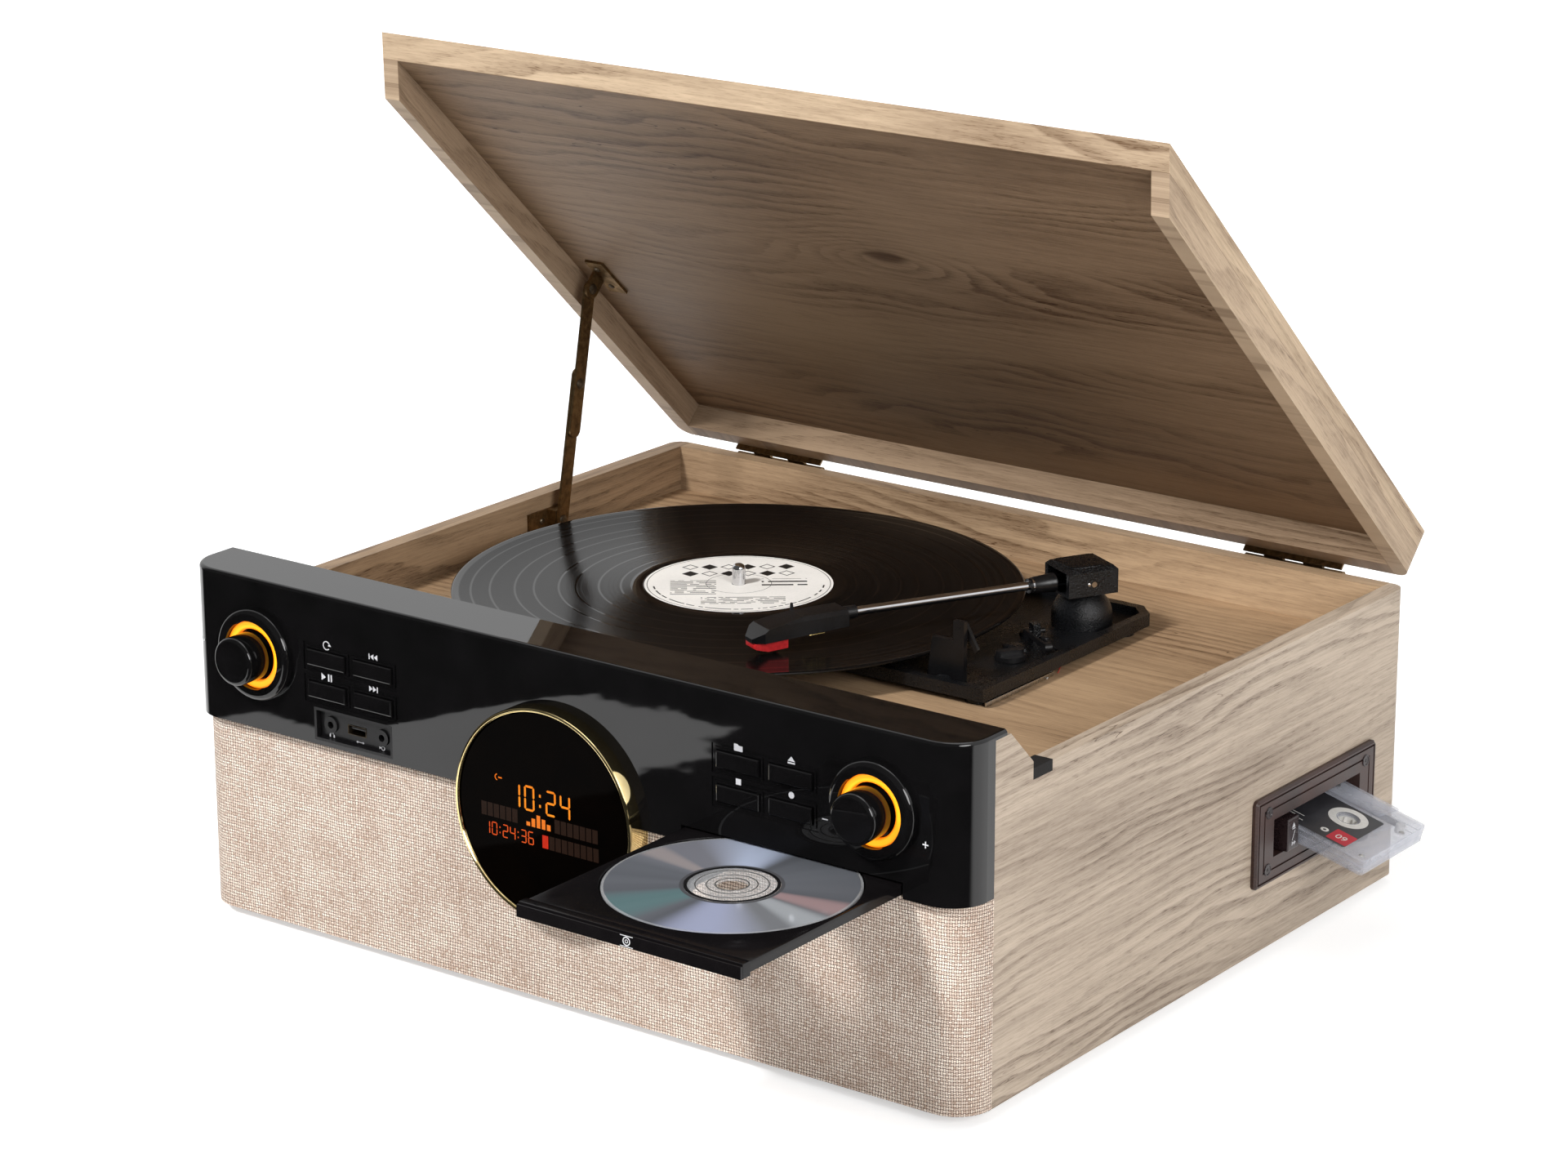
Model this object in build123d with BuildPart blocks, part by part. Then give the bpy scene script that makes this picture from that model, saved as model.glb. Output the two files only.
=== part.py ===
"""Stereo music centre: a wooden cabinet with a record player under a hinged lid.

All sizes are millimetres. X runs to the right, Y to the rear and Z up. The origin is on the
standing surface, under the middle of the cabinet. The lid stands open, the disc tray is out,
the cassette hangs in its slot and the stylus is on the record.
"""
from build123d import *

import math
import os

os.makedirs("parts", exist_ok=True)

# Cabinet
cabinet_width = 481.0
cabinet_depth = 400.6  # grille cloth face to rear face
foot_height = 5.0
foot_radius = 13.0
foot_inset = 38.0
wall_height = 158.2  # bottom edge to the walls' top edge
board = 10.0  # thickness of every wooden board
well_depth = 25.35  # walls' top edge down to the deck
rear_corner_radius = 8.0
grille_depth = 20.0  # cloth face to the side panels' front edges
front_corner_radius = 19.0
cloth_thickness = 1.0
baffle_thickness = 9.0

# Lid
lid_height = 25.8
lid_angle = 43.5  # how far the lid stands open
lid_rim_gap = 1.0
lid_front_gap = 3.5  # square to the sloping front edge
hinge_behind = 5.5  # hinge axis behind the rear face
hinge_below = 3.5  # hinge axis below the walls' top edge
hinge_from_side = 70.5  # hinge's middle to the cabinet's side
hinge_length = 60.0
hinge_leaf = 1.2
hinge_leaf_height = 16.0
hinge_barrel_radius = 2.5
hinge_pin_radius = 1.4
hinge_pin_clearance = 0.05
knuckle_gap = 0.4
knuckle_count = 5
bumper_width = 16.0
bumper_depth = 5.0
bumper_proud = 0.6

# Folding lid stay
stay_plane_inset = 9.5  # wall's inner face to the joint between the two arms
stay_foot_from_rear = 128.0
stay_foot_above_deck = 10.7
stay_head_from_hinge = 159.04  # along the lid
stay_head_drop = 9.62  # inside of the lid's top board to the pin
stay_lower_length = 77.0
stay_tail = 26.0
stay_width = 8.6
stay_thickness = 1.5
stay_pin_radius = 1.6
stay_pin_clearance = 0.05
stay_gap = 0.35
stay_bracket_length = 30.0
stay_bracket_width = 12.0

# Fascia
fascia_height = 79.3
fascia_proud = 5.0  # ahead of the cloth
fascia_wall = 3.0
ledge_reach = 9.25  # behind the side panels' front edges
ledge_round = 2.0
knob_from_side = 49.1  # knob's middle to the cabinet's side
knob_below_top = 39.0
knob_radius = 12.5
knob_length = 13.5
knob_standoff = 5.2  # fascia to the knob's back
knob_round = 2.0
shaft_radius = 3.0
shaft_clearance = 0.05
bezel_outer_radius = 24.0
bezel_inner_radius = 17.9
bezel_height = 5.0
light_outer_radius = 17.5
light_inner_radius = 13.6
light_height = 2.6
button_width = 25.0
button_height = 8.3
button_proud = 1.5
button_travel = 1.2
button_clearance = 0.4
button_columns_from_knob = (78.1, 47.4)
button_rows = (33.5, 50.3)  # below the fascia's top
button_frame = 1.6
button_groove = 0.6
display_radius = 55.0
display_ring_width = 2.6
display_below_top = 83.0
display_proud = 8.0
display_window_set = 1.4
display_drum_depth = 22.0
display_clearance = 0.4
jack_panel_width = 52.0
jack_panel_height = 17.3
jack_panel_x = -128.0
jack_panel_below_top = 68.3
jack_recess = 3.0
jack_wall = 1.5
headphone_x = -145.0
usb_x = -128.0
line_x = -111.0
usb_width = 12.5
usb_height = 5.2
usb_depth = 11.0
jack_hole_radius = 1.85
jack_body_radius = 4.2
jack_depth = 13.0

# Disc player
tray_side_gap = 24.0  # right wall's inner face to the tray
tray_width = 127.0
tray_length = 150.0
tray_thickness = 7.0
tray_out = 121.0  # front edge ahead of the fascia
tray_travel = 119.5
tray_clearance = 0.6
tray_above_cloth = 0.3
disc_radius = 60.0
disc_thickness = 1.2
disc_hole_radius = 7.5
disc_from_front = 77.0
disc_pocket_depth = 2.7
disc_pocket_clearance = 1.0
disc_lift = 0.4
chassis_wall = 3.0
chassis_rail = 6.0
chassis_below_tray = 8.0
chassis_above_tray = 5.0
chassis_front_gap = 2.0
chassis_back_gap = 3.0

# Cassette player
slot_from_rear = 90.6
slot_z = 64.6
slot_frame_width = 120.0
slot_frame_height = 47.5
slot_frame_thickness = 3.0
slot_width = 86.6
slot_height = 20.0
slot_screw_spacing_y = 97.2
slot_screw_spacing_z = 30.4
slot_line_width = 1.0
slot_line_outer = 2.0  # rim to the outer sunk line
slot_line_inner = 7.0  # rim to the inner one
slot_sleeve = 2.0  # wall of the frame's sleeve through the side panel
cassette_tilt = 14.7
cassette_behind_slot = 9.9
cassette_z = 61.1  # middle of the shell where it crosses the frame's face
cassette_out = 40.9
cassette_length = 100.4
cassette_width = 63.8
cassette_thickness = 8.7
cassette_head_thickness = 11.7
cassette_head_width = 15.0
cassette_head_length = 66.0
cassette_travel = 44.0
hub_spacing = 42.5
hub_radius = 5.0
basket_wall = 1.5
basket_clearance = 0.6
basket_pin_radius = 2.5
basket_start = 16.5  # ahead of it is the frame's sleeve
basket_pivot_inset = 20.0
basket_wall_top = 1.0
ear_gap = 0.6
ear_thickness = 2.5
ear_length = 14.0
cassette_floor_drop = 32.0  # slot's middle to the cassette chassis
key_ahead_of_slot = 28.7
key_width = 10.5
key_height = 17.0
key_proud = 3.0
key_length = 15.0
key_drop = 1.0
key_stem_width = 3.0
key_stem_length = 26.0

# Record player
spindle_x = -56.1
spindle_y = 17.1
spindle_radius = 3.5
spindle_height = 11.0  # above the record
spindle_clearance = 0.06
record_radius = 150.8
record_thickness = 1.7
record_above_deck = 18.15
mat_thickness = 1.5
platter_radius = 98.0
platter_skin = 3.0
platter_rim_depth = 4.5
drive_ring_radius = 60.0
drive_ring_wall = 3.0
boss_radius = 10.0
motor_x = 4.5
motor_y = 62.0
motor_radius = 17.5
motor_height = 26.0
motor_shaft_radius = 1.0
pulley_radius = 5.0
pulley_height = 3.8
belt_thickness = 0.7
belt_width = 3.0
belt_clearance = 0.1
base_gap = 3.6  # deck to the base moulding
base_thickness = 3.0
base_border = 3.6
base_border_width = 5.0
base_round_radius = 88.0
base_corner = 10.0
base_foot_radius = 6.0
pivot_x = 107.0
pivot_y = 96.7
base_right = 26.0  # base edges from the tonearm pivot
base_left = 62.0
base_rear = 35.0
base_front = 129.0
arm_height = 31.2  # arm axis above the deck
arm_bearing_length = 186.0  # pivot to stylus
arm_azimuth = 28.0  # arm's turn from straight ahead, towards the record
dome_radius = 16.0
dome_top_radius = 8.5
turret_gap = 0.4
turret_length = 29.0
turret_width = 26.0
turret_wall = 3.0
turret_above = 8.8
turret_below = 6.0
swing_pin_radius = 3.0
swing_pin_clearance = 0.05
lift_pin_radius = 1.5
lift_pin_clearance = 0.05
collar_length = 15.0
collar_start = 17.0
collar_radius = 5.0
collar_tip_radius = 3.8
tube_radius = 2.3
tube_end = 139.0
head_length = 53.3
head_width = 17.0
head_offset = 4.0
head_rear_height = 8.5
head_front_height = 2.0
head_nose_start = 46.0
head_nose_top = 0.8  # above the arm's axis where the nose starts
head_nose_corner = 5.0
head_slope_start = 26.0
head_floor_slope = 0.035
head_above_axis = 4.0
head_edge = 2.0  # chamfer of the headshell's top
head_ferrule = 8.0
head_ferrule_radius = 3.4
head_ferrule_lap = 2.0  # ferrule inside the headshell
cartridge_length = 30.0
cartridge_width = 10.0
cartridge_height = 2.2
stylus_length = 18.0
stylus_guard_front = 2.7  # height of the stylus holder at its front end
stylus_guard_rear = 4.9
stylus_guard_rake = 2.5
stylus_radius = 0.5
stylus_gap = 0.3
rest_thickness = 3.0
rest_width = 19.0
rest_below_axis = 4.0
rest_post_width = 6.5
rest_reach = 114.0  # ahead of the pivot
rest_x = -4.5  # middle of the rest from the pivot
rest_gap = 0.6
clip_thickness = 2.4
clip_length = 14.0
clip_pin_radius = 1.2
clip_open = 60.0  # how far the open clip hangs below level
cue_x = -4.4  # cue lever's shaft from the pivot
cue_y = -37.3
cue_turn = 33.0  # lever's turn from straight right towards the front
cue_height = 4.5  # shaft above the base
cue_lever_length = 27.0
cue_lever_radius = 1.3
cue_shaft_length = 11.0
cue_ear_width = 6.0
cue_ear_thickness = 4.0
speed_x = 3.5  # speed lever from the pivot
speed_y = -72.0
speed_knob_radius = 8.0
speed_knob_height = 5.0
speed_pin_radius = 2.0

# Loudspeakers, boards and rear plate
speaker_from_side = 90.5  # loudspeaker's middle to the cabinet's side
speaker_z = 57.0
speaker_radius = 38.0
speaker_hole_radius = 34.0
speaker_depth = 34.0
speaker_magnet_radius = 22.0
board_thickness = 1.6
front_board_height = 46.0
switch_size = 6.0
switch_height = 3.5
main_board_width = 170.0
main_board_depth = 120.0
main_board_stand = 5.0
plate_x = -120.0
plate_width = 120.0
plate_height = 56.0
plate_z = 60.0
plate_thickness = 2.0
plate_lap = 6.0
inlet_width = 20.0
inlet_height = 10.5
inlet_depth = 14.0
phono_radius = 4.2
phono_length = 9.0
phono_spacing = 14.0
screw_radius = 1.5
screw_clearance = 0.2
encoder_size = 12.0
encoder_depth = 7.0
screw_head_radius = 2.8
screw_head_height = 1.6
screw_length = 8.0

# Planes and edges that several pieces share
x_out = cabinet_width / 2
x_in = x_out - board
hinge_spread = x_out - hinge_from_side
knob_spread = x_out - knob_from_side
button_columns = [knob_spread - gap for gap in button_columns_from_knob]
speaker_x = x_out - speaker_from_side
y_cloth = -cabinet_depth / 2
y_panel = y_cloth + grille_depth
y_rear = cabinet_depth / 2
y_rear_in = y_rear - board
slot_y = y_rear - slot_from_rear
cassette_y = slot_y + cassette_behind_slot
key_y = slot_y - key_ahead_of_slot
tray_x = x_in - tray_side_gap - tray_width / 2
z_base = foot_height
z_floor = z_base + board
z_wall = z_base + wall_height
z_deck = z_wall - well_depth
z_top = z_wall + lid_height
y_fascia = y_cloth - fascia_proud
y_fascia_in = y_fascia + fascia_wall
z_fascia = z_top - fascia_height
y_ledge = y_panel + ledge_reach
y_notch = y_ledge + lid_height  # foot of the 45 degree slope behind the ledge
z_display = z_top - display_below_top
z_knob = z_top - knob_below_top
y_board_front = y_fascia + display_drum_depth / 2 + 5.0
z_tray = z_fascia + tray_above_cloth
y_tray_front = y_fascia - tray_out
z_arm = z_deck + arm_height
z_record = z_deck + record_above_deck - record_thickness
z_mat = z_record - mat_thickness
z_platter = z_mat - platter_skin
z_base_bottom = z_deck + base_gap
z_base_top = z_base_bottom + base_thickness


def span(low, high):
    """Middle and length of the stretch between two values."""
    return (low + high) / 2, high - low


def slab(x, y, z, mode=Mode.ADD):
    """Box between two x, two y and two z values, for the piece being built."""
    (mid_x, size_x), (mid_y, size_y), (mid_z, size_z) = span(*x), span(*y), span(*z)
    with Locations((mid_x, mid_y, mid_z)):
        Box(size_x, size_y, size_z, mode=mode)


def facing(y):
    """Upright plane at y, seen from the front, whose normal points forward."""
    return Plane.XZ.offset(-y)


def drum(x, z, radius, front, back, mode=Mode.ADD):
    """Cylinder along Y between two y values, for the piece being built."""
    with BuildSketch(facing(back)) as disc:
        with Locations((x, z)):
            Circle(radius)
    extrude(disc.sketch, amount=back - front, mode=mode)


def post(x, y, radius, bottom, top, mode=Mode.ADD):
    """Upright cylinder between two z values, for the piece being built."""
    with BuildSketch(Plane.XY.offset(bottom)) as disc:
        with Locations((x, y)):
            Circle(radius)
    extrude(disc.sketch, amount=top - bottom, mode=mode)


def finish(piece, name):
    """Label a finished piece and write its STEP file."""
    piece.part.label = name
    export_step(piece.part, f"parts/{name}.step")


# ---------------------------------------------------------------- cabinet

bumper_y = y_notch + bumper_width / 4
panel_profile = [
    (y_panel, z_base),
    (y_panel, z_top - fascia_wall),
    (y_ledge + fascia_wall, z_top - fascia_wall),
    (y_notch, z_wall),
    (y_rear, z_wall),
    (y_rear, z_base),
]


def side_panel(inner_x):
    """Side board with the sloping notch, the rounded rear corner and the bumper's seat."""
    outward = 1 if inner_x > 0 else -1
    with BuildSketch(Plane.YZ.offset(inner_x)) as side:
        with BuildLine():
            Polyline(*panel_profile, close=True)
        make_face()
        with Locations((bumper_y, z_wall)):
            Rectangle(bumper_width, 2 * bumper_depth, mode=Mode.SUBTRACT)
    extrude(side.sketch, amount=outward * board)
    rear_edges = edges().filter_by(Axis.Z).group_by(Axis.Y)[-1].sort_by(Axis.X)
    fillet(rear_edges[-1] if outward > 0 else rear_edges[0], rear_corner_radius)


with BuildPart() as side_panel_left:
    side_panel(-x_in)
finish(side_panel_left, "side_panel_left")

sleeve_width = slot_width + 2 * slot_sleeve
sleeve_height = slot_height + 2 * slot_sleeve
with BuildPart() as side_panel_right:
    side_panel(x_in)
    with Locations((x_in + board / 2, slot_y, slot_z)):
        Box(board + 1, sleeve_width, sleeve_height, mode=Mode.SUBTRACT)
        with GridLocations(0, slot_screw_spacing_y, 1, 2):
            for side in (-1, 1):
                with Locations((0, 0, side * slot_screw_spacing_z / 2)):
                    Cylinder(screw_radius, board + 1, rotation=(0, 90, 0), mode=Mode.SUBTRACT)
finish(side_panel_right, "side_panel_right")

z_plate = z_base + plate_z
plate_screw_x = (plate_width - plate_lap) / 2
plate_screw_z = (plate_height - plate_lap) / 2
plate_spots = [
    (plate_x + side_x * plate_screw_x, z_plate + side_z * plate_screw_z)
    for side_x in (-1, 1)
    for side_z in (-1, 1)
]
with BuildPart() as rear_board:
    slab((-x_in, x_in), (y_rear_in, y_rear), (z_base, z_wall))
    for x, z in plate_spots:
        drum(x, z, screw_radius, y_rear_in, y_rear, Mode.SUBTRACT)
    with Locations((plate_x, y_rear - board / 2, z_base + plate_z)):
        Box(plate_width - 2 * plate_lap, board + 1, plate_height - 2 * plate_lap, mode=Mode.SUBTRACT)
finish(rear_board, "rear_board")

y_baffle_back = y_cloth + cloth_thickness + baffle_thickness
with BuildPart() as base_board:
    slab((-x_in, x_in), (y_baffle_back, y_rear_in), (z_base, z_floor))
finish(base_board, "base_board")

with BuildPart() as deck_board:
    slab((-x_in, x_in), (y_panel, y_rear_in), (z_deck - board, z_deck))
    post(spindle_x, spindle_y, boss_radius, z_deck - board, z_deck, Mode.SUBTRACT)
    post(motor_x, motor_y, motor_radius + 2, z_deck - board, z_deck, Mode.SUBTRACT)
finish(deck_board, "deck_board")


def front_outline(inset, radius):
    """Plan of the front, round at both corners, between the side panels' front edges."""
    half = x_out - inset
    front = y_cloth + inset
    with BuildLine() as outline:
        FilletPolyline((-half, y_panel), (-half, front), (half, front), (half, y_panel), radius=radius)
        Line((half, y_panel), (-half, y_panel))
    make_face(outline.edges())


def disc_notch(back):
    """Clearance under the disc tray in the top edge of the cloth and the baffle."""
    half = tray_width / 2 + tray_clearance
    slab(
        (tray_x - half, tray_x + half),
        (y_cloth - 1, back),
        (z_tray - 2 * tray_clearance, z_fascia + 1),
        Mode.SUBTRACT,
    )


with BuildPart() as front_baffle:
    with BuildSketch(Plane.XY.offset(z_base)):
        front_outline(cloth_thickness, front_corner_radius - cloth_thickness)
        with Locations((0, y_baffle_back + grille_depth / 2)):
            Rectangle(2 * (x_out - board), grille_depth, mode=Mode.SUBTRACT)
    extrude(amount=z_fascia - z_base)
    for side in (-1, 1):
        drum(side * speaker_x, speaker_z, speaker_hole_radius, y_cloth, y_baffle_back, Mode.SUBTRACT)
    drum(0, z_display, display_radius - display_ring_width, y_cloth, y_baffle_back, Mode.SUBTRACT)
    disc_notch(y_baffle_back + 1)
finish(front_baffle, "front_baffle")

with BuildPart() as grille_cloth:
    with BuildSketch(Plane.XY.offset(z_base)):
        front_outline(0, front_corner_radius)
        with BuildSketch(mode=Mode.SUBTRACT):
            front_outline(cloth_thickness, front_corner_radius - cloth_thickness)
    extrude(amount=z_fascia - z_base)
    drum(0, z_display, display_radius - display_ring_width, y_cloth - 1, y_panel, Mode.SUBTRACT)
    disc_notch(y_baffle_back)
finish(grille_cloth, "grille_cloth")

foot_x = x_out - foot_inset
foot_y = y_rear - foot_inset
with BuildPart() as feet:
    with BuildSketch():
        with GridLocations(2 * foot_x, 2 * foot_y, 2, 2):
            Circle(foot_radius)
    extrude(amount=foot_height)
    chamfer(edges().group_by(Axis.Z)[0], foot_height / 4)
finish(feet, "feet")

with BuildPart() as lid_bumpers:
    with Locations(
        (-x_out + board / 2, bumper_y, z_wall - bumper_depth),
        (x_out - board / 2, bumper_y, z_wall - bumper_depth),
    ):
        Box(
            board,
            bumper_width,
            bumper_depth + bumper_proud,
            align=(Align.CENTER, Align.CENTER, Align.MIN),
        )
finish(lid_bumpers, "lid_bumpers")

# -------------------------------------------------------------------- lid

hinge_y = y_rear + hinge_behind
hinge_z = z_wall - hinge_below
lid_cos = math.cos(math.radians(lid_angle))
lid_sin = math.sin(math.radians(lid_angle))
# Section plane of the open lid: local x runs to the rear along the lid, local y is the lid's up.
lid_section = Plane(origin=(0, hinge_y, hinge_z), x_dir=(0, lid_cos, -lid_sin), z_dir=(1, 0, 0))
lid_rear = -hinge_behind
lid_rim = hinge_below + lid_rim_gap
lid_top_height = hinge_below + lid_height
lid_front_top = y_ledge + lid_front_gap * math.sqrt(2) - hinge_y


def lid_front(height):
    """Where the sloping front edge is at a height above the hinge axis."""
    return lid_front_top + lid_top_height - height


def lid_board(bottom, top, left, right):
    """Boards of the lid between two heights and two x values, with the sloping front edge."""
    with BuildSketch(lid_section.offset(left)) as section:
        with BuildLine():
            Polyline(
                (lid_front(bottom), bottom),
                (lid_front(top), top),
                (lid_rear, top),
                (lid_rear, bottom),
                close=True,
            )
        make_face()
    extrude(section.sketch, amount=right - left)


def round_rear_corners():
    """Round the two upright rear corners of the lid, as the cabinet's are."""
    upright = edges().filter_by(Axis((0, 0, 0), (0, lid_sin, lid_cos)))
    rear = upright.filter_by(lambda e: lid_section.to_local_coords(e.center()).X > lid_rear - 0.01)
    outer = rear.filter_by(lambda e: abs(e.center().X) > x_out - 0.01)
    fillet(outer, rear_corner_radius)


with BuildPart() as lid_top:
    lid_board(lid_top_height - board, lid_top_height, -x_out, x_out)
    round_rear_corners()
finish(lid_top, "lid_top")

with BuildPart() as lid_frame:
    lid_board(lid_rim, lid_top_height - board, -x_out, -x_in)
    lid_board(lid_rim, lid_top_height - board, x_in, x_out)
    round_rear_corners()
    with BuildSketch(lid_section.offset(-x_in)):
        with Locations((lid_rear - board / 2, (lid_rim + lid_top_height - board) / 2)):
            Rectangle(board, lid_top_height - board - lid_rim)
    extrude(amount=2 * x_in)
finish(lid_frame, "lid_frame")

knuckle_pitch = hinge_length / knuckle_count
knuckle_length = knuckle_pitch - knuckle_gap


def hinge_leaf_pair(section, leaf_from, leaf_to, first):
    """One leaf of both hinges in a section plane, with every other knuckle from the first."""
    leaf_middle, leaf_length = span(leaf_from, leaf_to)
    for centre in (-hinge_spread, hinge_spread):
        with BuildSketch(section.offset(centre - hinge_length / 2)) as leaf:
            with Locations((lid_rear + hinge_leaf / 2, leaf_middle)):
                Rectangle(hinge_leaf, leaf_length)
        extrude(leaf.sketch, amount=hinge_length)
        for index in range(first, knuckle_count, 2):
            start = centre - hinge_length / 2 + index * knuckle_pitch + knuckle_gap / 2
            web_x, web_length = span(lid_rear, 0)
            web_side = -1 if leaf_middle < 0 else 1
            with BuildSketch(section.offset(start)) as knuckle:
                with Locations((web_x, web_side * (hinge_barrel_radius - hinge_leaf / 2))):
                    Rectangle(web_length, hinge_leaf)
                Circle(hinge_barrel_radius)
                Circle(hinge_pin_radius + hinge_pin_clearance, mode=Mode.SUBTRACT)
            extrude(knuckle.sketch, amount=knuckle_length)


cabinet_section = Plane(origin=(0, hinge_y, hinge_z), x_dir=(0, 1, 0), z_dir=(1, 0, 0))
leaf_start = hinge_barrel_radius - hinge_leaf
with BuildPart() as hinge_leaves_cabinet:
    hinge_leaf_pair(cabinet_section, -leaf_start - hinge_leaf_height, -leaf_start, 0)
    for centre in (-hinge_spread, hinge_spread):
        with BuildSketch(cabinet_section.offset(centre - hinge_length / 2)):
            Circle(hinge_pin_radius)
        extrude(amount=hinge_length)
finish(hinge_leaves_cabinet, "hinge_leaves_cabinet")

with BuildPart() as hinge_leaves_lid:
    hinge_leaf_pair(lid_section, leaf_start, leaf_start + hinge_leaf_height, 1)
finish(hinge_leaves_lid, "hinge_leaves_lid")

# The stay's two arms lie side by side and meet end to end when the lid is open.
stay_x = -x_in + stay_plane_inset
stay_foot_y = y_rear - stay_foot_from_rear
stay_foot = Vector(0, stay_foot_y, z_deck + stay_foot_above_deck)
lid_inside = lid_top_height - board
head_local = Vector(-stay_head_from_hinge, lid_inside - stay_head_drop, 0)
stay_head = lid_section.from_local_coords(head_local)
stay_line = stay_head - stay_foot
stay_direction = stay_line.normalized()
stay_section = Plane(origin=stay_foot, x_dir=stay_direction, z_dir=(1, 0, 0))


def stay_arm(start, end, x, holes):
    """Flat bar with round ends, between two places on the stay's line, with its pin holes."""
    middle, length = span(start, end)
    with BuildSketch(stay_section.offset(x)) as bar:
        with Locations((middle, 0)):
            SlotCenterToCenter(length, stay_width)
        for hole in holes:
            with Locations((hole, 0)):
                Circle(stay_pin_radius, mode=Mode.SUBTRACT)
    extrude(bar.sketch, amount=stay_thickness)


x_lower_arm = stay_x - stay_thickness - stay_gap / 2
x_upper_arm = stay_x + stay_gap / 2
bracket_ear_gap = stay_gap + stay_thickness
with BuildPart() as stay_lower_arm:
    stay_arm(0, stay_lower_length + stay_width / 2, x_lower_arm, [0])
finish(stay_lower_arm, "stay_lower_arm")

with BuildPart() as stay_upper_arm:
    stay_arm(
        stay_lower_length - stay_tail,
        stay_line.length,
        x_upper_arm,
        [stay_line.length, stay_lower_length],
    )
finish(stay_upper_arm, "stay_upper_arm")

x_wall_ear = x_lower_arm - bracket_ear_gap
with BuildPart() as stay_wall_bracket:
    slab(
        (-x_in, -x_in + stay_thickness),
        (stay_foot_y - stay_bracket_length * 2 / 3, stay_foot_y + stay_bracket_length / 3),
        (stay_foot.Z - stay_bracket_width / 2, stay_foot.Z + stay_bracket_width / 2),
    )
    slab(
        (-x_in, x_wall_ear + stay_thickness),
        (stay_foot_y - stay_width / 2, stay_foot_y + stay_width / 2),
        (stay_foot.Z - stay_bracket_width / 2, stay_foot.Z + stay_bracket_width / 2),
    )
    with BuildSketch(stay_section.offset(x_wall_ear)):
        Circle(stay_pin_radius - stay_pin_clearance)
    extrude(amount=stay_x - x_wall_ear)
finish(stay_wall_bracket, "stay_wall_bracket")

x_lid_ear = x_upper_arm + bracket_ear_gap
with BuildPart() as stay_lid_bracket:
    with BuildSketch(lid_section.offset(x_lid_ear)):
        with Locations((head_local.X, lid_inside - stay_thickness / 2)):
            Rectangle(stay_bracket_length, stay_thickness)
    extrude(amount=stay_bracket_width)
    with BuildSketch(lid_section.offset(x_lid_ear)):
        ear_middle, ear_height = span(head_local.Y, lid_inside)
        with Locations((head_local.X, ear_middle)):
            Rectangle(stay_width + 2, ear_height)
        with Locations((head_local.X, head_local.Y)):
            Circle(stay_width / 2 + 1)
    extrude(amount=stay_thickness)
    with BuildSketch(lid_section.offset(x_upper_arm - stay_gap / 2)):
        with Locations((head_local.X, head_local.Y)):
            Circle(stay_pin_radius - stay_pin_clearance)
    extrude(amount=x_lid_ear - x_upper_arm + stay_gap)
finish(stay_lid_bracket, "stay_lid_bracket")

# ----------------------------------------------------------------- fascia

button_places = [
    (side * column, z_top - row) for side in (-1, 1) for row in button_rows for column in button_columns
]
tray_slot_half = tray_width / 2 + tray_clearance


def fascia_outline(inset, back):
    """Plan of the fascia's front and ends, round at both corners."""
    half = x_out - inset
    front = y_fascia + inset
    with BuildLine() as outline:
        FilletPolyline(
            (-half, back), (-half, front), (half, front), (half, back), radius=front_corner_radius - inset
        )
        Line((half, back), (-half, back))
    make_face(outline.edges())


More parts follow.
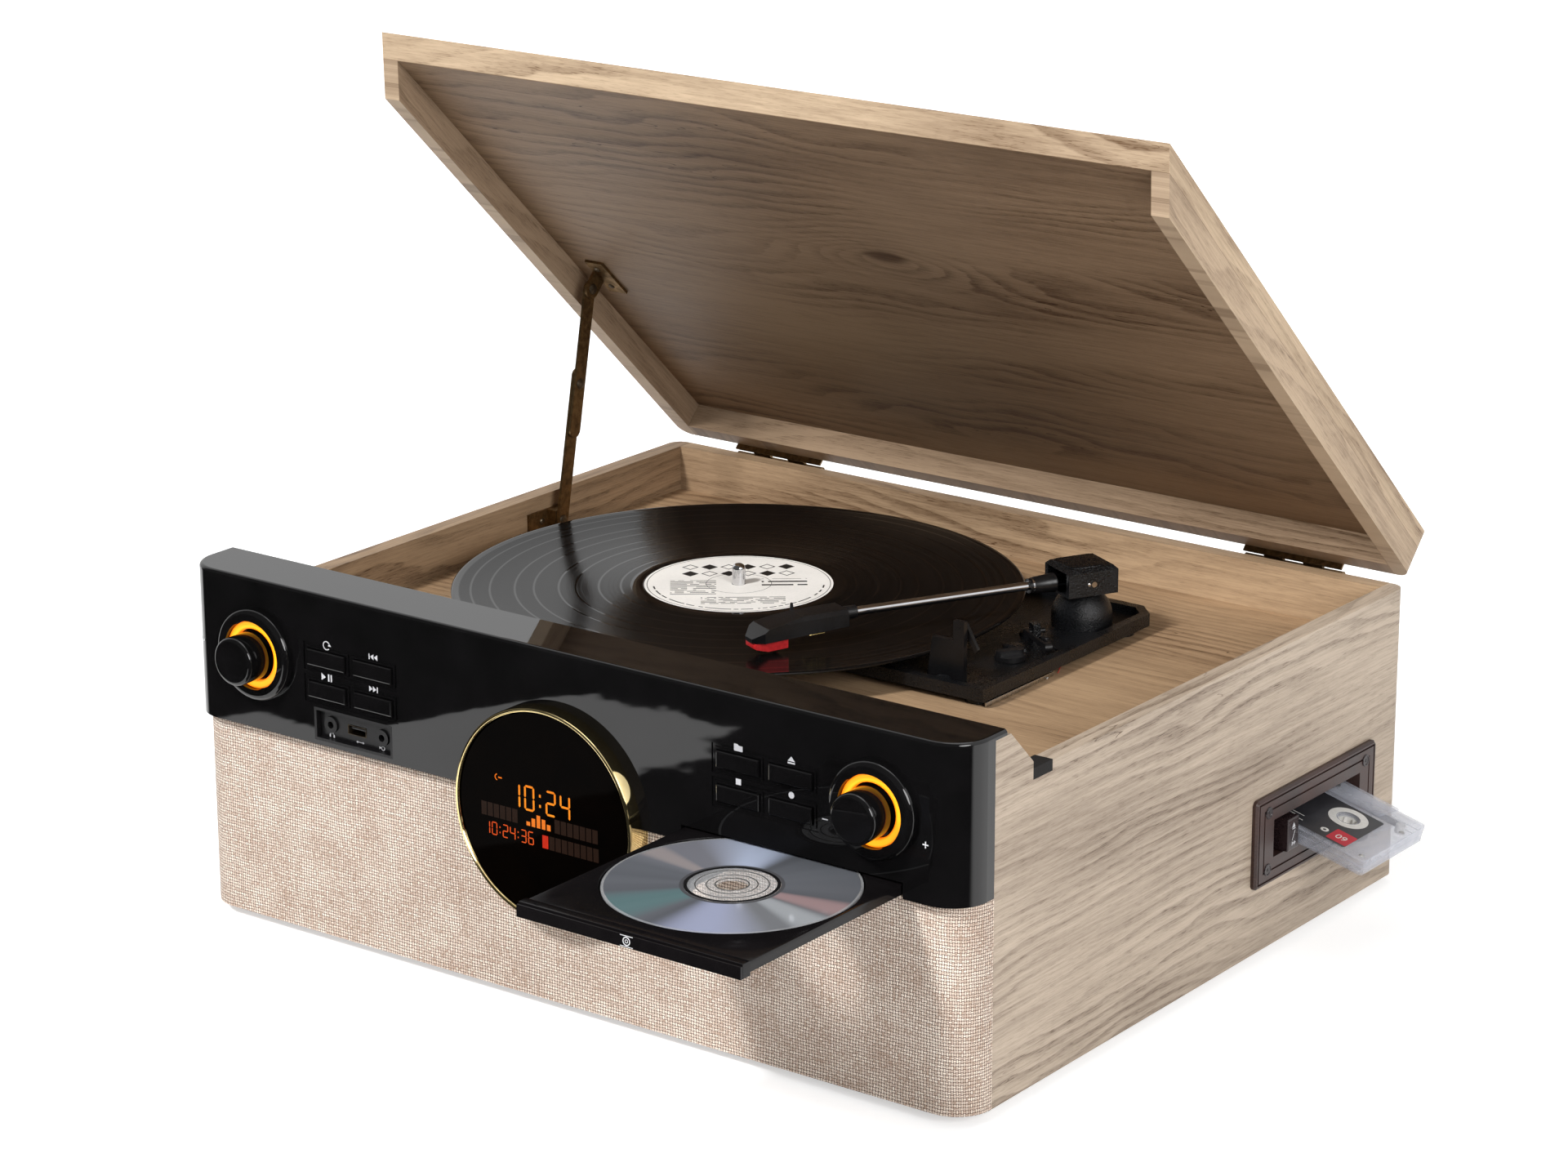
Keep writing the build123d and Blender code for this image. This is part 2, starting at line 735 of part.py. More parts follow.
with BuildPart() as fascia:
    with BuildSketch(Plane.XY.offset(z_fascia)):
        fascia_outline(0, y_panel)
    extrude(amount=fascia_height)
    with BuildSketch(Plane.XY.offset(z_fascia)):
        fascia_outline(fascia_wall, y_panel + 1)
    extrude(amount=fascia_height - fascia_wall, mode=Mode.SUBTRACT)
    # Ledge over the side panels' front ends, then the slope and the wall down to the deck.
    slab((-x_out, x_out), (y_panel, y_ledge), (z_top - fascia_wall, z_top))
    with BuildSketch(Plane.YZ.offset(-x_in)):
        with BuildLine():
            Polyline(
                (y_ledge - fascia_wall, z_top - fascia_wall),
                (y_ledge, z_top),
                (y_notch, z_wall),
                (y_notch, z_deck),
                (y_notch - fascia_wall, z_deck),
                (y_notch - fascia_wall, z_wall - fascia_wall * math.tan(math.radians(22.5))),
                (y_ledge - fascia_wall, z_top - fascia_wall * math.sqrt(2)),
                close=True,
            )
        make_face()
    extrude(amount=2 * x_in)
    fillet(edges().filter_by(Axis.X).filter_by_position(Axis.Z, z_top - 0.01, z_top + 0.01)
           .filter_by_position(Axis.Y, y_fascia - 1, y_fascia + 1), ledge_round)
    # Raised bezels round both knobs.
    for side in (-1, 1):
        drum(side * knob_spread, z_knob, bezel_outer_radius, y_fascia - bezel_height, y_fascia_in)
    front_rim = faces().filter_by(Axis.Y).filter_by_position(
        Axis.Y, y_fascia - bezel_height - 0.01, y_fascia - bezel_height + 0.01
    )
    fillet(front_rim.edges(), bezel_height * 0.6)
    for side in (-1, 1):
        drum(
            side * knob_spread,
            z_knob,
            bezel_inner_radius,
            y_fascia - bezel_height,
            y_fascia,
            Mode.SUBTRACT,
        )
        drum(side * knob_spread, z_knob, shaft_radius + 1, y_fascia, y_fascia_in, Mode.SUBTRACT)
    # Windows for the buttons, each in a thin sunk frame.
    for x, z in button_places:
        with BuildSketch(facing(y_fascia_in)):
            with Locations((x, z)):
                Rectangle(button_width + 2 * button_clearance, button_height + 2 * button_clearance)
        extrude(amount=fascia_wall, mode=Mode.SUBTRACT)
        with BuildSketch(facing(y_fascia + button_groove)):
            with Locations((x, z)):
                Rectangle(button_width + 4 * button_frame, button_height + 4 * button_frame)
                Rectangle(
                    button_width + 2 * button_frame, button_height + 2 * button_frame, mode=Mode.SUBTRACT
                )
        extrude(amount=button_groove, mode=Mode.SUBTRACT)
    # Openings for the jack panel, the display and the disc tray.
    with BuildSketch(facing(y_fascia_in)):
        with Locations((jack_panel_x, z_top - jack_panel_below_top)):
            Rectangle(jack_panel_width, jack_panel_height)
    extrude(amount=fascia_wall, mode=Mode.SUBTRACT)
    drum(0, z_display, display_radius - display_ring_width, y_fascia, y_panel, Mode.SUBTRACT)
    slab(
        (tray_x - tray_slot_half, tray_x + tray_slot_half),
        (y_fascia - 1, y_fascia_in + 1),
        (z_fascia - 1, z_tray + tray_thickness + tray_clearance),
        Mode.SUBTRACT,
    )
finish(fascia, "fascia")

with BuildPart() as light_rings:
    for side in (-1, 1):
        with BuildSketch(facing(y_fascia)):
            with Locations((side * knob_spread, z_knob)):
                Circle(light_outer_radius)
                Circle(light_inner_radius, mode=Mode.SUBTRACT)
        extrude(amount=light_height)
finish(light_rings, "light_rings")


def control_knob(x):
    """Round knob with its shaft into the encoder behind the fascia."""
    knob_back = y_fascia - knob_standoff
    drum(x, z_knob, knob_radius, knob_back - knob_length, knob_back)
    fillet(faces().sort_by(Axis.Y)[0].edges(), knob_round)
    drum(x, z_knob, shaft_radius, knob_back, y_board_front - 0.5)


with BuildPart() as source_knob:
    control_knob(-knob_spread)
finish(source_knob, "source_knob")
with BuildPart() as volume_knob:
    control_knob(knob_spread)
finish(volume_knob, "volume_knob")

y_flange = y_fascia_in + button_clearance
stem_back = y_board_front - switch_height - button_travel - 0.4
button_names = [
    "button_back",
    "button_repeat",
    "button_forward",
    "button_play",
    "button_folder",
    "button_open",
    "button_stop",
    "button_record",
]
for name, (x, z) in zip(button_names, button_places):
    with BuildPart() as push_button:
        slab(
            (x - button_width / 2, x + button_width / 2),
            (y_fascia - button_proud, y_flange),
            (z - button_height / 2, z + button_height / 2),
        )
        fillet(faces().sort_by(Axis.Y)[0].edges(), button_proud / 2)
        slab(
            (x - button_width / 2 - 1, x + button_width / 2 + 1),
            (y_flange, y_flange + 1.2),
            (z - button_height / 2 - 1, z + button_height / 2 + 1),
        )
        drum(x, z, switch_size / 4, y_flange, stem_back)
    finish(push_button, name)

with BuildPart() as display_ring:
    with BuildSketch(facing(y_cloth)):
        with Locations((0, z_display)):
            Circle(display_radius)
            Circle(display_radius - display_ring_width, mode=Mode.SUBTRACT)
    extrude(amount=display_proud + fascia_proud)
    fillet(faces().sort_by(Axis.Y)[0].edges(), display_ring_width * 0.4)
    # Its upper part stands on the fascia and the rest reaches back to the cloth.
    slab(
        (-display_radius, display_radius),
        (y_fascia, y_cloth + 1),
        (z_fascia, z_display + display_radius),
        Mode.SUBTRACT,
    )
finish(display_ring, "display_ring")

with BuildPart() as display_window:
    drum(
        0,
        z_display,
        display_radius - display_ring_width - display_clearance,
        y_fascia - display_proud + display_window_set,
        y_fascia + display_drum_depth,
    )
finish(display_window, "display_window")

z_jacks = z_top - jack_panel_below_top
with BuildPart() as jack_panel:
    slab(
        (jack_panel_x - jack_panel_width / 2, jack_panel_x + jack_panel_width / 2),
        (y_fascia, y_fascia + jack_recess + jack_wall),
        (z_jacks - jack_panel_height / 2, z_jacks + jack_panel_height / 2),
    )
    slab(
        (jack_panel_x - jack_panel_width / 2 + jack_wall, jack_panel_x + jack_panel_width / 2 - jack_wall),
        (y_fascia, y_fascia + jack_recess),
        (z_jacks - jack_panel_height / 2 + jack_wall, z_jacks + jack_panel_height / 2 - jack_wall),
        Mode.SUBTRACT,
    )
    y_jacks = y_fascia + jack_recess
    for x in (headphone_x, line_x):
        drum(x, z_jacks, jack_body_radius, y_jacks - 1, y_jacks + jack_depth)
        drum(x, z_jacks, jack_hole_radius, y_jacks - 1, y_jacks + jack_depth - 1, Mode.SUBTRACT)
    usb_half = usb_width / 2 + jack_wall / 2
    usb_half_height = usb_height / 2 + jack_wall / 2
    slab(
        (usb_x - usb_half, usb_x + usb_half),
        (y_jacks, y_jacks + usb_depth + 1),
        (z_jacks - usb_half_height, z_jacks + usb_half_height),
    )
    slab(
        (usb_x - usb_width / 2, usb_x + usb_width / 2),
        (y_jacks, y_jacks + usb_depth),
        (z_jacks - usb_height / 2, z_jacks + usb_height / 2),
        Mode.SUBTRACT,
    )
finish(jack_panel, "jack_panel")

# ------------------------------------------------------------ disc player

y_disc = y_tray_front + disc_from_front
z_tray_top = z_tray + tray_thickness
disc_slot = disc_radius / 3
with BuildPart() as cd_tray:
    slab(
        (tray_x - tray_width / 2, tray_x + tray_width / 2),
        (y_tray_front, y_tray_front + tray_length),
        (z_tray, z_tray_top),
    )
    fillet(edges().filter_by(Axis.Z).group_by(Axis.Y)[0], tray_thickness / 4)
    post(
        tray_x,
        y_disc,
        disc_radius + disc_pocket_clearance,
        z_tray_top - disc_pocket_depth,
        z_tray_top,
        Mode.SUBTRACT,
    )
    # Opening for the spindle and the pickup, out through the back.
    post(tray_x, y_disc, disc_slot, z_tray, z_tray_top, Mode.SUBTRACT)
    slab(
        (tray_x - disc_slot, tray_x + disc_slot),
        (y_disc, y_tray_front + tray_length + 1),
        (z_tray, z_tray_top),
        Mode.SUBTRACT,
    )
finish(cd_tray, "cd_tray")

z_disc = z_tray_top - disc_pocket_depth + disc_lift
with BuildPart() as compact_disc:
    post(tray_x, y_disc, disc_radius, z_disc, z_disc + disc_thickness)
    post(tray_x, y_disc, disc_hole_radius, z_disc, z_disc + disc_thickness, Mode.SUBTRACT)
finish(compact_disc, "compact_disc")

# Chassis: floor, two side walls with rails over the tray's edges, and a back wall.
chassis_half = tray_width / 2 + tray_clearance
y_chassis_front = y_baffle_back + chassis_front_gap
y_chassis_back = y_tray_front + tray_travel + tray_length + chassis_back_gap
z_chassis_floor = z_tray - chassis_below_tray
z_chassis_top = z_tray_top + chassis_above_tray
with BuildPart() as cd_mechanism:
    slab(
        (tray_x - chassis_half - chassis_wall, tray_x + chassis_half + chassis_wall),
        (y_chassis_front, y_chassis_back + chassis_wall),
        (z_chassis_floor, z_chassis_top),
    )
    slab(
        (tray_x - chassis_half, tray_x + chassis_half),
        (y_chassis_front - 1, y_chassis_back),
        (z_chassis_floor + chassis_wall, z_tray_top + tray_clearance),
        Mode.SUBTRACT,
    )
    slab(
        (tray_x - chassis_half + chassis_rail, tray_x + chassis_half - chassis_rail),
        (y_chassis_front - 1, y_chassis_back),
        (z_tray_top, z_chassis_top + 1),
        Mode.SUBTRACT,
    )
    # Turntable and pickup slide below the tray's opening when the tray is in.
    y_loaded = y_disc + tray_travel
    post(tray_x, y_loaded, disc_slot * 0.7, z_chassis_floor, z_tray - tray_clearance)
    slab(
        (tray_x - disc_slot * 0.6, tray_x + disc_slot * 0.6),
        (y_loaded, y_loaded + disc_radius * 0.7),
        (z_chassis_floor, z_tray - tray_clearance),
    )
finish(cd_mechanism, "cd_mechanism")

# -------------------------------------------------------- cassette player

x_face = x_out + slot_frame_thickness
with BuildPart() as cassette_frame:
    with BuildSketch(Plane.YZ.offset(x_out)):
        with Locations((slot_y, slot_z)):
            RectangleRounded(slot_frame_width, slot_frame_height, 3.0)
    extrude(amount=slot_frame_thickness)
    chamfer(faces().sort_by(Axis.X)[-1].edges(), slot_frame_thickness * 0.4)
    # Two sunk lines round the mouth.
    for inset in (slot_line_outer, slot_line_inner):
        width, height = slot_frame_width - 2 * inset, slot_frame_height - 2 * inset
        with BuildSketch(Plane.YZ.offset(x_face)):
            with Locations((slot_y, slot_z)):
                Rectangle(width, height)
                Rectangle(width - 2 * slot_line_width, height - 2 * slot_line_width, mode=Mode.SUBTRACT)
        extrude(amount=-slot_frame_thickness / 3, mode=Mode.SUBTRACT)
    slab(
        (x_in, x_out),
        (slot_y - sleeve_width / 2, slot_y + sleeve_width / 2),
        (slot_z - sleeve_height / 2, slot_z + sleeve_height / 2),
    )
    slab(
        (x_in - 1, x_face + 1),
        (slot_y - slot_width / 2, slot_y + slot_width / 2),
        (slot_z - slot_height / 2, slot_z + slot_height / 2),
        Mode.SUBTRACT,
    )
    for radius, depth in (
        (screw_radius + screw_clearance, slot_frame_thickness),
        (screw_head_radius + screw_clearance, screw_head_height),
    ):
        with BuildSketch(Plane.YZ.offset(x_face)):
            with Locations((slot_y, slot_z)):
                with GridLocations(slot_screw_spacing_y, slot_screw_spacing_z, 2, 2):
                    Circle(radius)
        extrude(amount=-depth, mode=Mode.SUBTRACT)
finish(cassette_frame, "cassette_frame")

tilt_cos = math.cos(math.radians(cassette_tilt))
tilt_sin = math.sin(math.radians(cassette_tilt))
# Local x runs out of the slot along the cassette, local y to the rear, local z up.
cassette_plane = Plane(
    origin=(x_face, cassette_y, cassette_z), x_dir=(tilt_cos, 0, -tilt_sin), z_dir=(tilt_sin, 0, tilt_cos)
)
shell_middle = cassette_out - cassette_length / 2
shell_half_width = cassette_width / 2
with BuildPart() as cassette:
    with BuildSketch(cassette_plane.offset(-cassette_thickness / 2)):
        with Locations((shell_middle, 0)):
            RectangleRounded(cassette_length, cassette_width, 3.0)
    extrude(amount=cassette_thickness)
    with BuildSketch(cassette_plane.offset(-cassette_head_thickness / 2)):
        with BuildLine():
            Polyline(
                (shell_middle - cassette_head_length / 2, shell_half_width),
                (shell_middle + cassette_head_length / 2, shell_half_width),
                (shell_middle + cassette_head_length / 2 - 3, shell_half_width - cassette_head_width),
                (shell_middle - cassette_head_length / 2 + 3, shell_half_width - cassette_head_width),
                close=True,
            )
        make_face()
    extrude(amount=cassette_head_thickness)
    with BuildSketch(cassette_plane.offset(-cassette_head_thickness)):
        with Locations((shell_middle, 0)):
            with GridLocations(hub_spacing, 0, 2, 1):
                Circle(hub_radius)
    extrude(amount=2 * cassette_head_thickness, mode=Mode.SUBTRACT)
finish(cassette, "cassette")

# Basket that carries the cassette inside and tips on two trunnions.
basket_half = shell_half_width + basket_clearance
basket_end = cassette_out - cassette_length - cassette_travel - 2.0
basket_floor = -cassette_head_thickness / 2 - basket_clearance
ear_from = basket_half + basket_wall + ear_gap
middle, length = span(basket_end, -basket_start)
with BuildPart() as cassette_basket:
    with BuildSketch(cassette_plane.offset(basket_floor - basket_wall)):
        with Locations((middle, 0)):
            Rectangle(length, 2 * (basket_half + basket_wall))
    extrude(amount=basket_wall + basket_wall_top - basket_floor)
    with BuildSketch(cassette_plane.offset(basket_floor)):
        with Locations((middle + basket_wall, 0)):
            Rectangle(length, 2 * basket_half)
    extrude(amount=basket_wall_top - basket_floor, mode=Mode.SUBTRACT)
    with BuildSketch(cassette_plane.offset(basket_floor - basket_wall)):
        with Locations((shell_middle - cassette_travel, 0)):
            with GridLocations(hub_spacing, 0, 2, 1):
                Circle(hub_radius + 3)
    extrude(amount=basket_wall, mode=Mode.SUBTRACT)
    for side in (-1, 1):
        pin_start = side * (basket_half + basket_wall)
        pin_plane = Plane(
            origin=cassette_plane.from_local_coords(Vector(-basket_pivot_inset, pin_start, 0)),
            x_dir=(1, 0, 0),
            z_dir=(0, side, 0),
        )
        with BuildSketch(pin_plane):
            Circle(basket_pin_radius)
        extrude(amount=ear_gap + ear_thickness)
        with BuildSketch(pin_plane.offset(-basket_wall)):
            Circle(basket_pin_radius + 2)
        extrude(amount=basket_wall)
finish(cassette_basket, "cassette_basket")

# Chassis with an ear on each side of the basket and the two reel spindles under it.
pivot_point = cassette_plane.from_local_coords(Vector(-basket_pivot_inset, 0, 0))
x_chassis = pivot_point.X - (basket_pivot_inset - basket_end) + 6.0
z_chassis = slot_z - cassette_floor_drop
with BuildPart() as cassette_mechanism:
    slab(
        (x_chassis, pivot_point.X + basket_pin_radius + 2),
        (cassette_y - ear_from - ear_thickness, cassette_y + ear_from + ear_thickness),
        (z_chassis, z_chassis + ear_thickness),
    )
    for side in (-1, 1):
        ear_y = sorted((cassette_y + side * ear_from, cassette_y + side * (ear_from + ear_thickness)))
        slab(
            (pivot_point.X - ear_length, pivot_point.X + basket_pin_radius + 2),
            ear_y,
            (z_chassis, pivot_point.Z + basket_pin_radius + 3),
        )
    with BuildSketch(facing(cassette_y + ear_from + ear_thickness + 1)):
        with Locations((pivot_point.X, pivot_point.Z)):
            Circle(basket_pin_radius + shaft_clearance)
    extrude(amount=2 * (ear_from + ear_thickness) + 2, mode=Mode.SUBTRACT)
    loaded_x = pivot_point.X + shell_middle - cassette_travel + basket_pivot_inset
    for side in (-1, 1):
        post(
            loaded_x + side * hub_spacing / 2,
            cassette_y,
            hub_radius - 1.5,
            z_chassis,
            pivot_point.Z + basket_floor - basket_wall - 0.8,
        )
finish(cassette_mechanism, "cassette_mechanism")

x_key = x_face + key_proud
z_key = slot_z - key_drop
with BuildPart() as eject_key:
    slab(
        (x_key - key_length, x_key),
        (key_y - key_width / 2, key_y + key_width / 2),
        (z_key - key_height / 2, z_key + key_height / 2),
    )
    fillet(faces().sort_by(Axis.X)[-1].edges(), key_proud / 4)
    slab(
        (x_key - key_length - key_stem_length, x_key - key_length),
        (key_y - key_width / 2, key_y - key_width / 2 + key_stem_width),
        (z_key - key_stem_width, z_key + key_stem_width),
    )
finish(eject_key, "eject_key")

# ---------------------------------------------------------- record player

with BuildPart() as spindle:
    post(spindle_x, spindle_y, spindle_radius, z_deck - board, z_record + record_thickness + spindle_height)
    fillet(faces().sort_by(Axis.Z)[-1].edges(), spindle_radius * 0.8)
finish(spindle, "spindle")

z_rim = z_platter - platter_rim_depth
with BuildPart() as platter:
    post(spindle_x, spindle_y, platter_radius, z_rim, z_mat)
    fillet(faces().sort_by(Axis.Z)[-1].edges(), platter_skin / 3)
    for outer, inner in (
        (platter_radius - platter_skin, drive_ring_radius),
        (drive_ring_radius - drive_ring_wall, boss_radius),
    ):
        with BuildSketch(Plane.XY.offset(z_rim)):
            with Locations((spindle_x, spindle_y)):
                Circle(outer)
                Circle(inner, mode=Mode.SUBTRACT)
        extrude(amount=platter_rim_depth, mode=Mode.SUBTRACT)
    post(spindle_x, spindle_y, spindle_radius + spindle_clearance, z_rim, z_mat, Mode.SUBTRACT)
finish(platter, "platter")

with BuildPart() as platter_mat:
    post(spindle_x, spindle_y, platter_radius - 2, z_mat, z_record)
    post(spindle_x, spindle_y, spindle_radius + spindle_clearance, z_mat, z_record, Mode.SUBTRACT)
finish(platter_mat, "platter_mat")

with BuildPart() as record:
    post(spindle_x, spindle_y, record_radius, z_record, z_record + record_thickness)
    fillet(edges(), record_thickness / 3)
    post(
        spindle_x,
        spindle_y,
        spindle_radius + spindle_clearance,
        z_record,
        z_record + record_thickness,
        Mode.SUBTRACT,
    )
finish(record, "record")

with BuildPart() as turntable_motor:
    post(motor_x, motor_y, motor_radius, z_base_bottom - motor_height, z_base_bottom)
    fillet(edges().group_by(Axis.Z)[0], 2.0)
    post(motor_x, motor_y, motor_shaft_radius, z_base_bottom, z_base_top + pulley_height)
finish(turntable_motor, "turntable_motor")

z_pulley = z_base_top + 0.6
with BuildPart() as motor_pulley:
    post(motor_x, motor_y, pulley_radius, z_pulley, z_pulley + pulley_height)
    post(
        motor_x,
        motor_y,
        motor_shaft_radius + shaft_clearance,
        z_pulley,
        z_pulley + pulley_height,
        Mode.SUBTRACT,
    )
finish(motor_pulley, "motor_pulley")


def belt_outline(offset):
    """Taut loop round the drive ring and the pulley, a distance away from both."""
    with Locations((spindle_x, spindle_y)):
        Circle(drive_ring_radius + offset)
    with Locations((motor_x, motor_y)):
        Circle(pulley_radius + offset)


with BuildPart() as drive_belt:
    with BuildSketch(Plane.XY.offset(z_rim + 0.6)):
        with BuildSketch(mode=Mode.ADD) as outer_loop:
            belt_outline(belt_clearance + belt_thickness)
            make_hull()
        with BuildSketch(mode=Mode.SUBTRACT) as inner_loop:
            belt_outline(belt_clearance)
            make_hull()
    extrude(amount=belt_width)
finish(drive_belt, "drive_belt")

base_x_low = pivot_x - base_left
base_x_high = pivot_x + base_right
base_y_low = pivot_y - base_front
base_y_high = pivot_y + base_rear
azimuth = math.radians(arm_azimuth)
speed_lever_x = pivot_x + speed_x
speed_lever_y = pivot_y + speed_y
cue_angle = math.radians(cue_turn)
# Section across the cue lever's shaft: local x runs along the lever, local y up.
cue_side = Plane(
    origin=(pivot_x + cue_x, pivot_y + cue_y, z_base_top + cue_height),
    x_dir=(math.cos(cue_angle), -math.sin(cue_angle), 0),
    z_dir=(-math.sin(cue_angle), -math.cos(cue_angle), 0),
)
# Local x runs from the pivot to the headshell, local y to the arm's right side, local z up.
arm_plane = Plane(
    origin=(pivot_x, pivot_y, z_arm), x_dir=(-math.sin(azimuth), -math.cos(azimuth), 0), z_dir=(0, 0, 1)
)
z_turret = z_arm - turret_below


def arm_slab(x, y, z, mode=Mode.ADD):
    """Box in the arm's own directions, for the piece being built."""
    (mid_x, size_x), (mid_y, size_y) = span(*x), span(*y)
    with BuildSketch(arm_plane.offset(z[0])) as block:
        with Locations((mid_x, mid_y)):
            Rectangle(size_x, size_y)
    extrude(block.sketch, amount=z[1] - z[0], mode=mode)


def arm_section(x):
    """Plane square to the arm at a distance from the pivot, whose normal runs to the headshell."""
    return Plane(arm_plane.from_local_coords(Vector(x, 0, 0)), x_dir=arm_plane.y_dir, z_dir=arm_plane.x_dir)


def arm_side(y):
    """Plane along the arm at a distance to its right, seen from that side."""
    return Plane(arm_plane.from_local_coords(Vector(0, y, 0)), x_dir=arm_plane.x_dir, z_dir=-arm_plane.y_dir)


def along_arm(x_from, x_to, radius, mode=Mode.ADD):
    """Round bar along the arm between two distances from the pivot."""
    with BuildSketch(arm_section(x_from)) as disc:
        Circle(radius)
    extrude(disc.sketch, amount=x_to - x_from, mode=mode)


def across_arm(x, z, radius, y_from, y_to, mode=Mode.ADD):
    """Round bar across the arm between two distances to its right."""
    with BuildSketch(arm_side(y_to)) as disc:
        with Locations((x, z)):
            Circle(radius)
    extrude(disc.sketch, amount=y_to - y_from, mode=mode)


def base_outline(inset):
    """Plan of the tonearm's part of the base, its rear right corner cut off."""
    right, rear = base_x_high - inset, base_y_high - inset
    cut = base_corner - (2 - math.sqrt(2)) * inset
    with BuildLine() as outline:
        Polyline(
            (base_x_low, base_y_low + inset),
            (right, base_y_low + inset),
            (right, rear - cut),
            (right - cut, rear),
            (base_x_low, rear),
            close=True,
        )
    make_face(outline.edges())


with BuildPart() as turntable_base:
    with BuildSketch(Plane.XY.offset(z_base_bottom)):
        with Locations((spindle_x, spindle_y)):
            Circle(base_round_radius)
        base_outline(0)
        bridge_x, bridge_length = span(spindle_x, base_x_low)
        bridge_y, bridge_width = span(base_y_low, pivot_y)
        with Locations((bridge_x, bridge_y)):
            Rectangle(bridge_length, bridge_width)
    extrude(amount=base_thickness)
    # Raised border on the three open sides of the tonearm's part.
    with BuildSketch(Plane.XY.offset(z_base_top)):
        base_outline(0)
        with BuildSketch(mode=Mode.SUBTRACT):
            base_outline(base_border_width)
    extrude(amount=base_border)
    # Feet on the deck.
    for x, y in (
        (base_x_high - base_corner, base_y_low + base_corner),
        (base_x_high - base_corner, base_y_high - 2 * base_corner),
        (spindle_x - base_round_radius / 2, spindle_y - base_round_radius / 2),
        (spindle_x - base_round_radius / 2, spindle_y + base_round_radius / 2),
    ):
        post(x, y, base_foot_radius, z_deck, z_base_bottom)
    # Domed bearing post of the tonearm.
    with BuildSketch(Plane(origin=(pivot_x, pivot_y, 0), x_dir=(1, 0, 0), z_dir=(0, -1, 0))):
        dome_top = z_turret - turret_gap
        with BuildLine():
            Line((0, z_base_bottom), (dome_radius, z_base_bottom))
            Line((dome_radius, z_base_bottom), (dome_radius, z_base_top + base_border))
            ThreePointArc(
                (dome_radius, z_base_top + base_border),
                (dome_radius * 0.86, (z_base_top + base_border + dome_top) / 2 + 2),
                (dome_top_radius, dome_top),
            )
            Line((dome_top_radius, dome_top), (0, dome_top))
            Line((0, dome_top), (0, z_base_bottom))
        make_face()
    revolve(axis=Axis((pivot_x, pivot_y, 0), (0, 0, 1)))
    post(
        pivot_x,
        pivot_y,
        swing_pin_radius + swing_pin_clearance,
        z_base_top,
        z_turret,
        Mode.SUBTRACT,
    )
    post(spindle_x, spindle_y, spindle_radius, z_base_bottom, z_base_top, Mode.SUBTRACT)
    post(motor_x, motor_y, motor_shaft_radius + 1, z_base_bottom, z_base_top, Mode.SUBTRACT)
    # Ear that carries the cue lever's shaft.
    with BuildSketch(cue_side):
        Rectangle(cue_ear_width, 2 * cue_height)
        Circle(cue_lever_radius + shaft_clearance, mode=Mode.SUBTRACT)
    extrude(amount=cue_ear_thickness / 2, both=True)
    # Seat of the speed lever's pin.
    post(
        speed_lever_x,
        speed_lever_y,
        speed_pin_radius + shaft_clearance,
        z_base_bottom,
        z_base_top,
        Mode.SUBTRACT,
    )
finish(turntable_base, "turntable_base")

turret_front = turret_length / 2 + 0.5
turret_back = turret_front - turret_length
cavity_half = turret_width / 2 - turret_wall
cavity_top = turret_above - 2.2
cavity_bottom = -turret_below + 1.4
with BuildPart() as tonearm_turret:
    arm_slab(
        (turret_back, turret_front),
        (-turret_width / 2, turret_width / 2),
        (-turret_below, turret_above),
    )
    chamfer(faces().sort_by(Axis.Z)[-1].edges(), 2.0)
    arm_slab(
        (turret_back + turret_wall, turret_front),
        (-cavity_half, cavity_half),
        (cavity_bottom, cavity_top),
        Mode.SUBTRACT,
    )
    across_arm(
        0, 0, lift_pin_radius + lift_pin_clearance, -turret_width / 2 - 1, turret_width / 2 + 1, Mode.SUBTRACT
    )
    post(pivot_x, pivot_y, swing_pin_radius, z_base_top + 1, z_turret)
finish(tonearm_turret, "tonearm_turret")

with BuildPart() as tonearm_tube:
    along_arm(turret_back + turret_wall + 2.5, collar_start, collar_radius * 0.6)
    with BuildSketch(arm_section(collar_start)):
        Circle(collar_radius)
    with BuildSketch(arm_section(collar_start + collar_length)):
        Circle(collar_tip_radius)
    loft()
    along_arm(collar_start, tube_end, tube_radius)
    across_arm(0, 0, lift_pin_radius, -turret_width / 2, turret_width / 2)
finish(tonearm_tube, "tonearm_tube")

# Local x runs along the headshell from the tube's end.
head_turn = math.radians(arm_azimuth - head_offset)
head_origin = arm_plane.from_local_coords(Vector(tube_end, 0, 0))
head_plane = Plane(
    origin=head_origin, x_dir=(-math.sin(head_turn), -math.cos(head_turn), 0), z_dir=(0, 0, 1)
)
head_side = Plane(origin=head_origin, x_dir=head_plane.x_dir, z_dir=-head_plane.y_dir)
head_bottom = head_above_axis - head_rear_height


def head_floor(x):
    """Height of the headshell's sloping underside at a distance from the tube's end."""
    return head_bottom - head_floor_slope * x


with BuildPart() as headshell:
    with BuildSketch(head_side):
        with BuildLine():
            Polyline(
                (0, head_above_axis),
                (head_slope_start, head_above_axis),
                (head_nose_start, head_nose_top),
                (head_length, head_floor(head_length) + head_front_height),
                (head_length, head_floor(head_length)),
                (0, head_bottom),
                close=True,
            )
        make_face()
    extrude(amount=head_width / 2, both=True)
    chamfer(faces().sort_by(Axis.Z)[-1].edges().filter_by(Axis(head_origin, head_plane.x_dir)), head_edge)
    nose = faces().sort_by(Axis(head_origin, head_plane.x_dir))[-1]
    chamfer(nose.edges().filter_by(Axis.Z), head_nose_corner)
    along_arm(tube_end - head_ferrule, tube_end + head_ferrule_lap, head_ferrule_radius)
    along_arm(tube_end - head_ferrule, tube_end, tube_radius, mode=Mode.SUBTRACT)
finish(headshell, "headshell")

